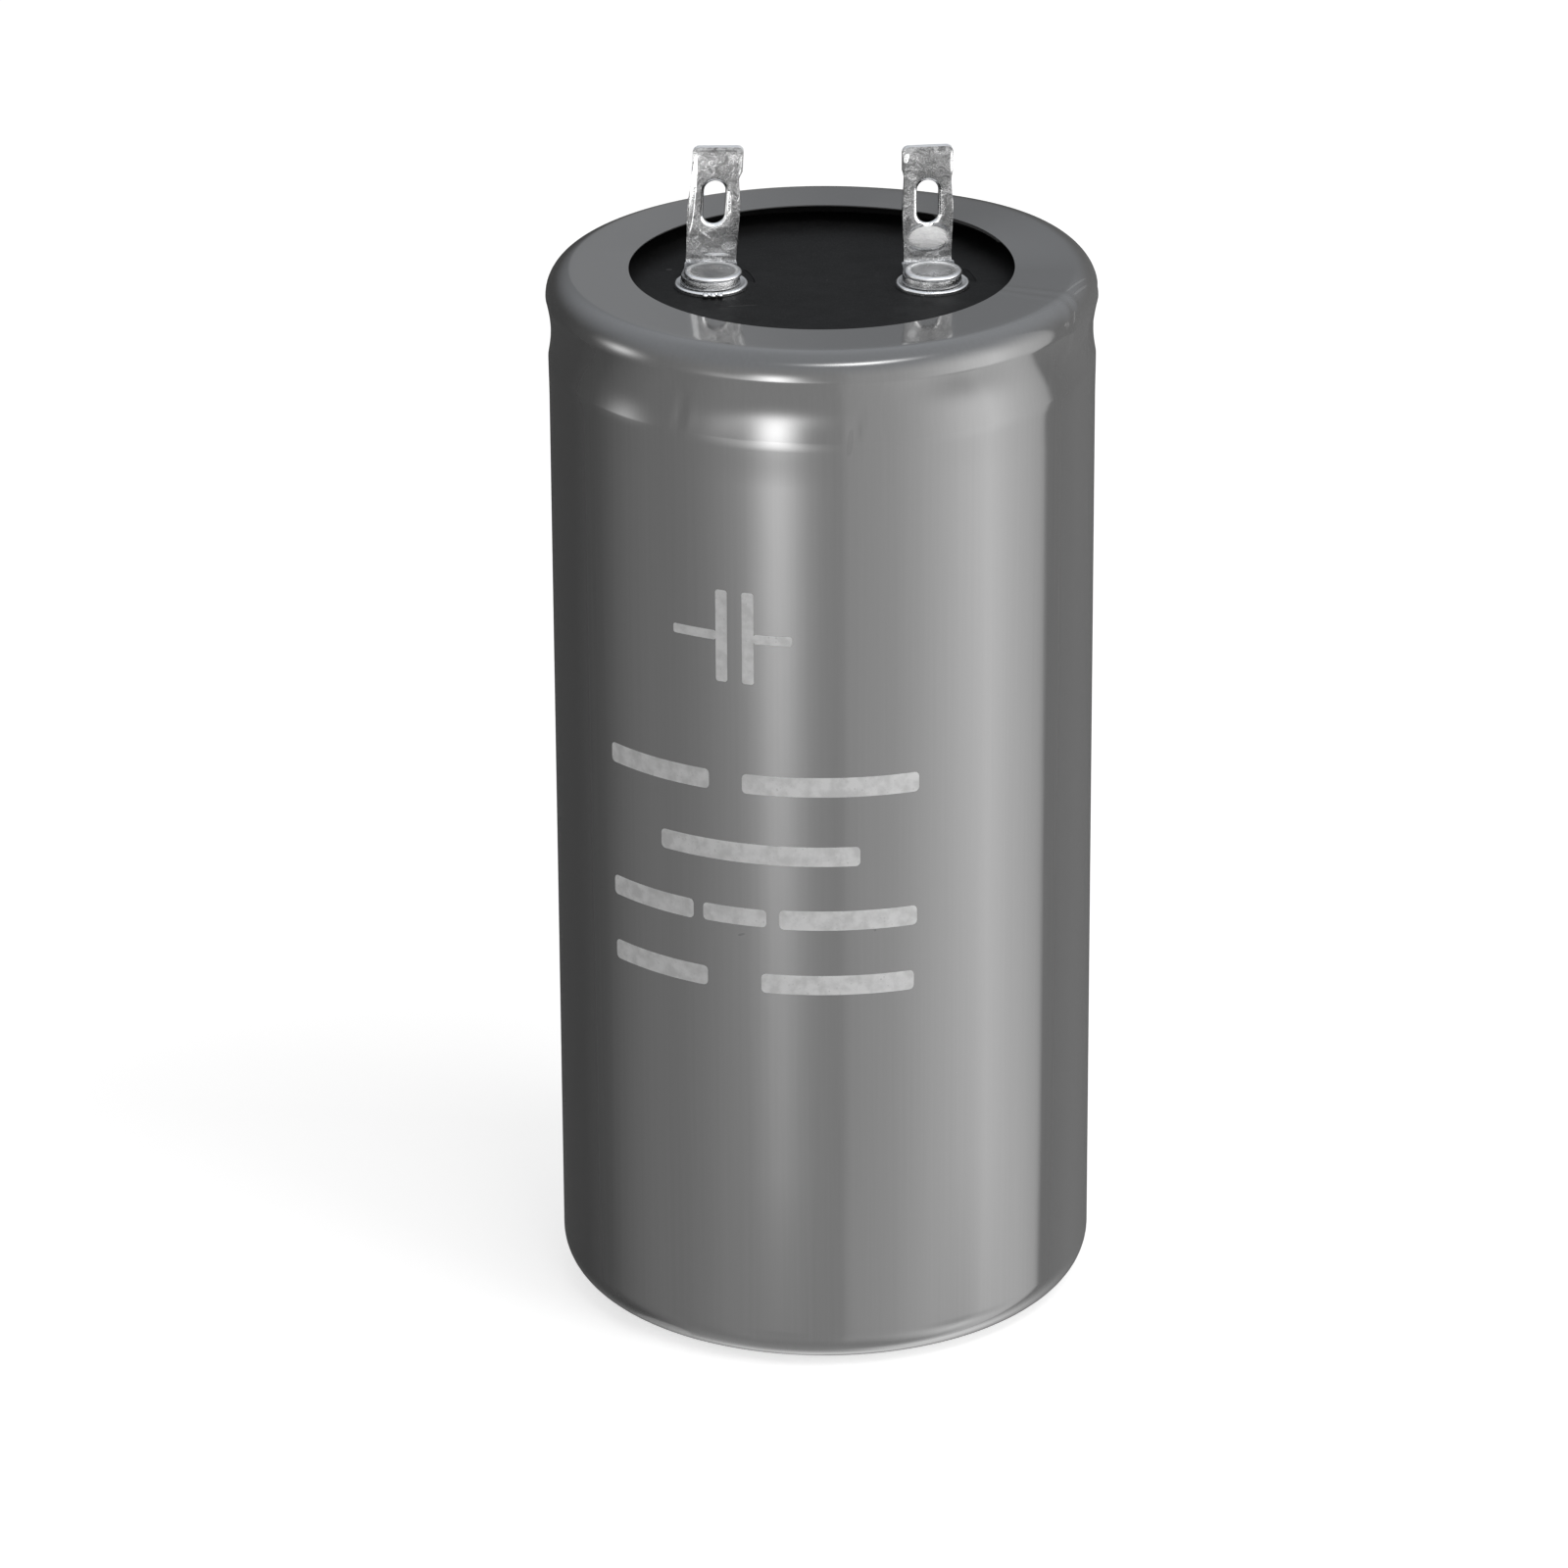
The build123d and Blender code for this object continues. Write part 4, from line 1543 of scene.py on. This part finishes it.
@dataclass(frozen=True)
class PhotoCamera:
    """Camera at the photograph's place, in metres and radians."""

    place: Triple = (0.0, -0.676833, 0.329541)
    pitch: float = 0.39341
    yaw: float = -0.00549
    roll: float = -0.00597
    lens: float = 179.793
    sensor: float = 36.0
    clip: Pair = (0.01, 50.0)

    def build(self) -> None:
        """Set the camera up as the scene's own."""
        data = bpy.data.cameras.new("photo_camera")
        data.lens, data.sensor_width = self.lens, self.sensor
        data.clip_start, data.clip_end = self.clip
        down, side = self.pitch, self.yaw
        ahead = Vector((math.sin(side) * math.cos(down), math.cos(side) * math.cos(down), -math.sin(down)))
        right = Vector((math.cos(side), -math.sin(side), 0))
        up = right.cross(ahead)
        tilted_right = right * math.cos(self.roll) + up * math.sin(self.roll)
        tilted_up = up * math.cos(self.roll) - right * math.sin(self.roll)
        turn = Matrix((tilted_right, tilted_up, -ahead)).transposed()
        camera = add_object("photo_camera", data)
        camera.matrix_world = Matrix.Translation(self.place) @ turn.to_4x4()
        bpy.context.scene.camera = camera


@dataclass(frozen=True)
class Softbox:
    """One soft lamp that looks at the object and doesn't show in reflections.

    Args:
        name: The lamp's name.
        azimuth: Degrees from the front towards +X.
        elevation: Degrees above the floor.
        distance: From the object's middle, in metres.
        width: Its width, in metres.
        height: Its height, in metres.
        watts: Its power.
    """

    name: str
    azimuth: float
    elevation: float
    distance: float
    width: float
    height: float
    watts: float

    def build(self, target: Vector) -> None:
        """Hang the lamp.

        Args:
            target: The point that it looks at.
        """
        data = bpy.data.lights.new(self.name, "AREA")
        data.shape = "RECTANGLE"
        data.size, data.size_y = self.width, self.height
        data.energy = self.watts
        azimuth, elevation = math.radians(self.azimuth), math.radians(self.elevation)
        level = Vector((math.sin(azimuth), -math.cos(azimuth), 0))
        away = level * math.cos(elevation) + Vector((0, 0, math.sin(elevation)))
        lamp = add_object(self.name, data)
        lamp.location = target + away * self.distance
        lamp.rotation_euler = away.to_track_quat("Z", "Y").to_euler()
        lamp.visible_glossy = False


@dataclass(frozen=True)
class Patch:
    """One soft patch of the surround, seen in reflections only.

    Args:
        azimuth: Degrees from the front towards +X.
        elevation: Degrees above the horizon.
        width: Degrees from its middle to where it has faded, sideways.
        height: The same upwards.
        level: Light that it adds in its middle, or takes away where it is below 0.
    """

    azimuth: float
    elevation: float
    width: float
    height: float
    level: float


@dataclass(frozen=True)
class Studio:
    """White surround with soft lamps and a pale floor; reflections see grey flags and soft patches in it.

    Args:
        ambient: Light that the surround sheds.
        flags: Stops round the object: degrees from the front towards +X, and the level reflected there.
        ceiling: Linear colour reflected from above.
        ceiling_rise: Elevations between which the flags pass into the ceiling, in degrees.
        table: Level reflected from straight below.
        table_fall: Elevations between which the flags pass into the table, in degrees.
        patches: Soft patches over the flags.
        lamps: The lamps.
        target: The point that the lamps look at, in metres.
        floor_size: Half the floor's width, in metres.
        floor_drop: How far it lies below the object, in metres.
    """

    ambient: float = 0.42
    flags: tuple[Pair, ...] = (
        (-180.0, 0.12), (-178.3, 0.28), (-174.0, 0.06), (-150.0, 0.055), (-129.0, 0.05), (-109.0, 0.12),
        (-93.0, 0.38), (-79.0, 0.58), (-66.0, 0.64), (-55.0, 0.78), (-43.0, 0.95), (-30.0, 0.98),
        (7.0, 0.95), (11.0, 1.28), (29.0, 1.46), (40.0, 1.8), (51.0, 2.3), (62.0, 2.85), (74.0, 3.2),
        (88.0, 2.15), (102.5, 1.35), (106.5, 1.12), (109.7, 0.26), (136.0, 0.23), (152.0, 0.18), (180.0, 0.1),
    )
    ceiling: Colour = (0.8, 0.84, 0.9, 1.0)
    ceiling_rise: Pair = (2.5, 55.0)
    table: float = 0.75
    table_fall: Pair = (-45.0, -72.0)
    patches: tuple[Patch, ...] = (
        Patch(-19.0, -4.0, 8.5, 12.0, 7.0),
        Patch(-18.5, -15.0, 13.5, 7.0, 2.5),
        Patch(-38.0, -8.0, 11.0, 9.0, 0.9),
        Patch(-89.0, 2.0, 9.0, 10.0, 3.0),
        Patch(23.0, 58.0, 24.0, 5.0, 9.0),
        Patch(68.0, -36.0, 18.0, 12.0, -1.6),
        Patch(128.0, -62.0, 26.0, 19.0, 1.1),
        Patch(178.0, -60.0, 34.0, 16.0, 0.65),
        Patch(-178.0, -60.0, 34.0, 16.0, 0.65),
    )
    lamps: tuple[Softbox, ...] = (
        Softbox("key_softbox", 62.0, 14.0, 1.1, 0.8, 0.8, 5.4),
        Softbox("top_softbox", 40.0, 58.0, 1.1, 0.75, 0.2, 2.3),
    )
    target: Triple = (0, 0, 0.06)
    floor_size: float = 6.0
    floor_drop: float = 0.0002

    def wall(self, w: Wiring, azimuth: Value) -> Socket:
        """The flags' level round the object.

        Args:
            w: The world's wiring.
            azimuth: Degrees from the front towards +X.

        Returns:
            The colour.
        """
        brightest = max(level for _, level in self.flags)
        ramp = w.node("ShaderNodeValToRGB", {"Fac": w.remap(azimuth, -180.0, 180.0)})
        stops = ramp.color_ramp.elements
        while len(stops) < len(self.flags):
            stops.new(0.5)
        for stop, (degrees, level) in zip(stops, self.flags):
            stop.position = (degrees + 180.0) / 360.0
            stop.color = grey(level / brightest)
        return w.vector("SCALE", {0: ramp.outputs["Color"], "Scale": brightest}).outputs[0]

    def build_world(self) -> None:
        """Make the surround: white for the eye, with flags and patches in its reflections."""
        world = bpy.data.worlds.new("studio")
        bpy.context.scene.world = world
        world.use_nodes = True
        world.node_tree.nodes.clear()
        w = Wiring(world.node_tree)
        parts = w.parts(w.node("ShaderNodeTexCoord").outputs["Generated"])
        azimuth = w.math("DEGREES", w.math("ARCTAN2", parts["X"], parts["Y"] * -1.0))
        elevation = w.math("DEGREES", w.math("ARCSINE", parts["Z"]))
        rise = w.remap(elevation, *self.ceiling_rise, smooth=True)
        reflected = w.blend(rise, self.wall(w, azimuth), self.ceiling)
        reflected = w.blend(w.remap(elevation, *self.table_fall, smooth=True), reflected, grey(self.table))
        for patch in self.patches:
            share = w.group("soft_patch", {
                "Azimuth": azimuth, "Elevation": elevation, "Middle Azimuth": patch.azimuth,
                "Middle Elevation": patch.elevation, "Width": patch.width, "Height": patch.height})["Share"]
            reflected = w.vector("ADD", {0: reflected, 1: share * patch.level}).outputs[0]
        rays = w.values(w.node("ShaderNodeLightPath"))
        seen = w.blend(rays["Is Glossy Ray"], grey(self.ambient), reflected)
        colour = w.blend(rays["Is Camera Ray"] | rays["Is Transmission Ray"], seen, grey(1.0))
        back = w.node("ShaderNodeBackground", {"Color": colour})
        w.node("ShaderNodeOutputWorld", {"Surface": back.outputs[0]})

    def build_floor(self) -> None:
        """Lay the pale floor."""
        bm = bmesh.new()
        bmesh.ops.create_grid(bm, x_segments=1, y_segments=1, size=self.floor_size)
        bmesh.ops.translate(bm, verts=bm.verts, vec=(0, 0, -self.floor_drop))
        floor = add_mesh("floor", bm, PaleFloor().make())
        floor.visible_glossy = False

    def build(self) -> None:
        """Set up the surround, the floor and the lamps."""
        self.build_world()
        self.build_floor()
        for lamp in self.lamps:
            lamp.build(Vector(self.target))


def main() -> None:
    """Build every piece in order."""
    logging.basicConfig(level=logging.INFO, format="%(name)s: %(message)s")
    bpy.context.scene.view_settings.view_transform = "Standard"
    for add_group in (add_specks_group, add_beaten_group, add_mark_group, add_patch_group):
        add_group()
    PhotoCamera().build()
    Studio().build()
    ShrinkSleeve().build(ShrinkFilm().make())
    washer = BeatenMetal("bright_washer", 0.86, 0.6, (0.16, 0.3), 500.0, 0.00002).make()
    tinned = TinnedSteel().make()
    pressed = BeatenMetal("pressed_rivet", 0.42, 0.32, (0.26, 0.42), 420.0, 0.00003, 0.6).make()
    terminals = (
        Terminal(Side.LEFT, lean=3.5, turn=0.0, step_left=0.05, step_right=0.3, base_half=2.3,
                 lug_off=-0.15, rivet_off=0.1, washer_off=-0.09, teeth=(-8.0, 3.5, 14.5)),
        Terminal(Side.RIGHT, lean=0.2, turn=6.5, step_left=0.18, step_right=0.18, base_half=2.2,
                 lug_off=0.05, rivet_off=0.15, washer_off=0.1),
    )
    for terminal in terminals:
        terminal.build_washer(washer)
        terminal.build_lug(tinned)
        terminal.build_rivet(pressed)
    PrintedRows().build(PrintInk().make())
    InnerPieces().dress()


if __name__ == "__main__":
    main()
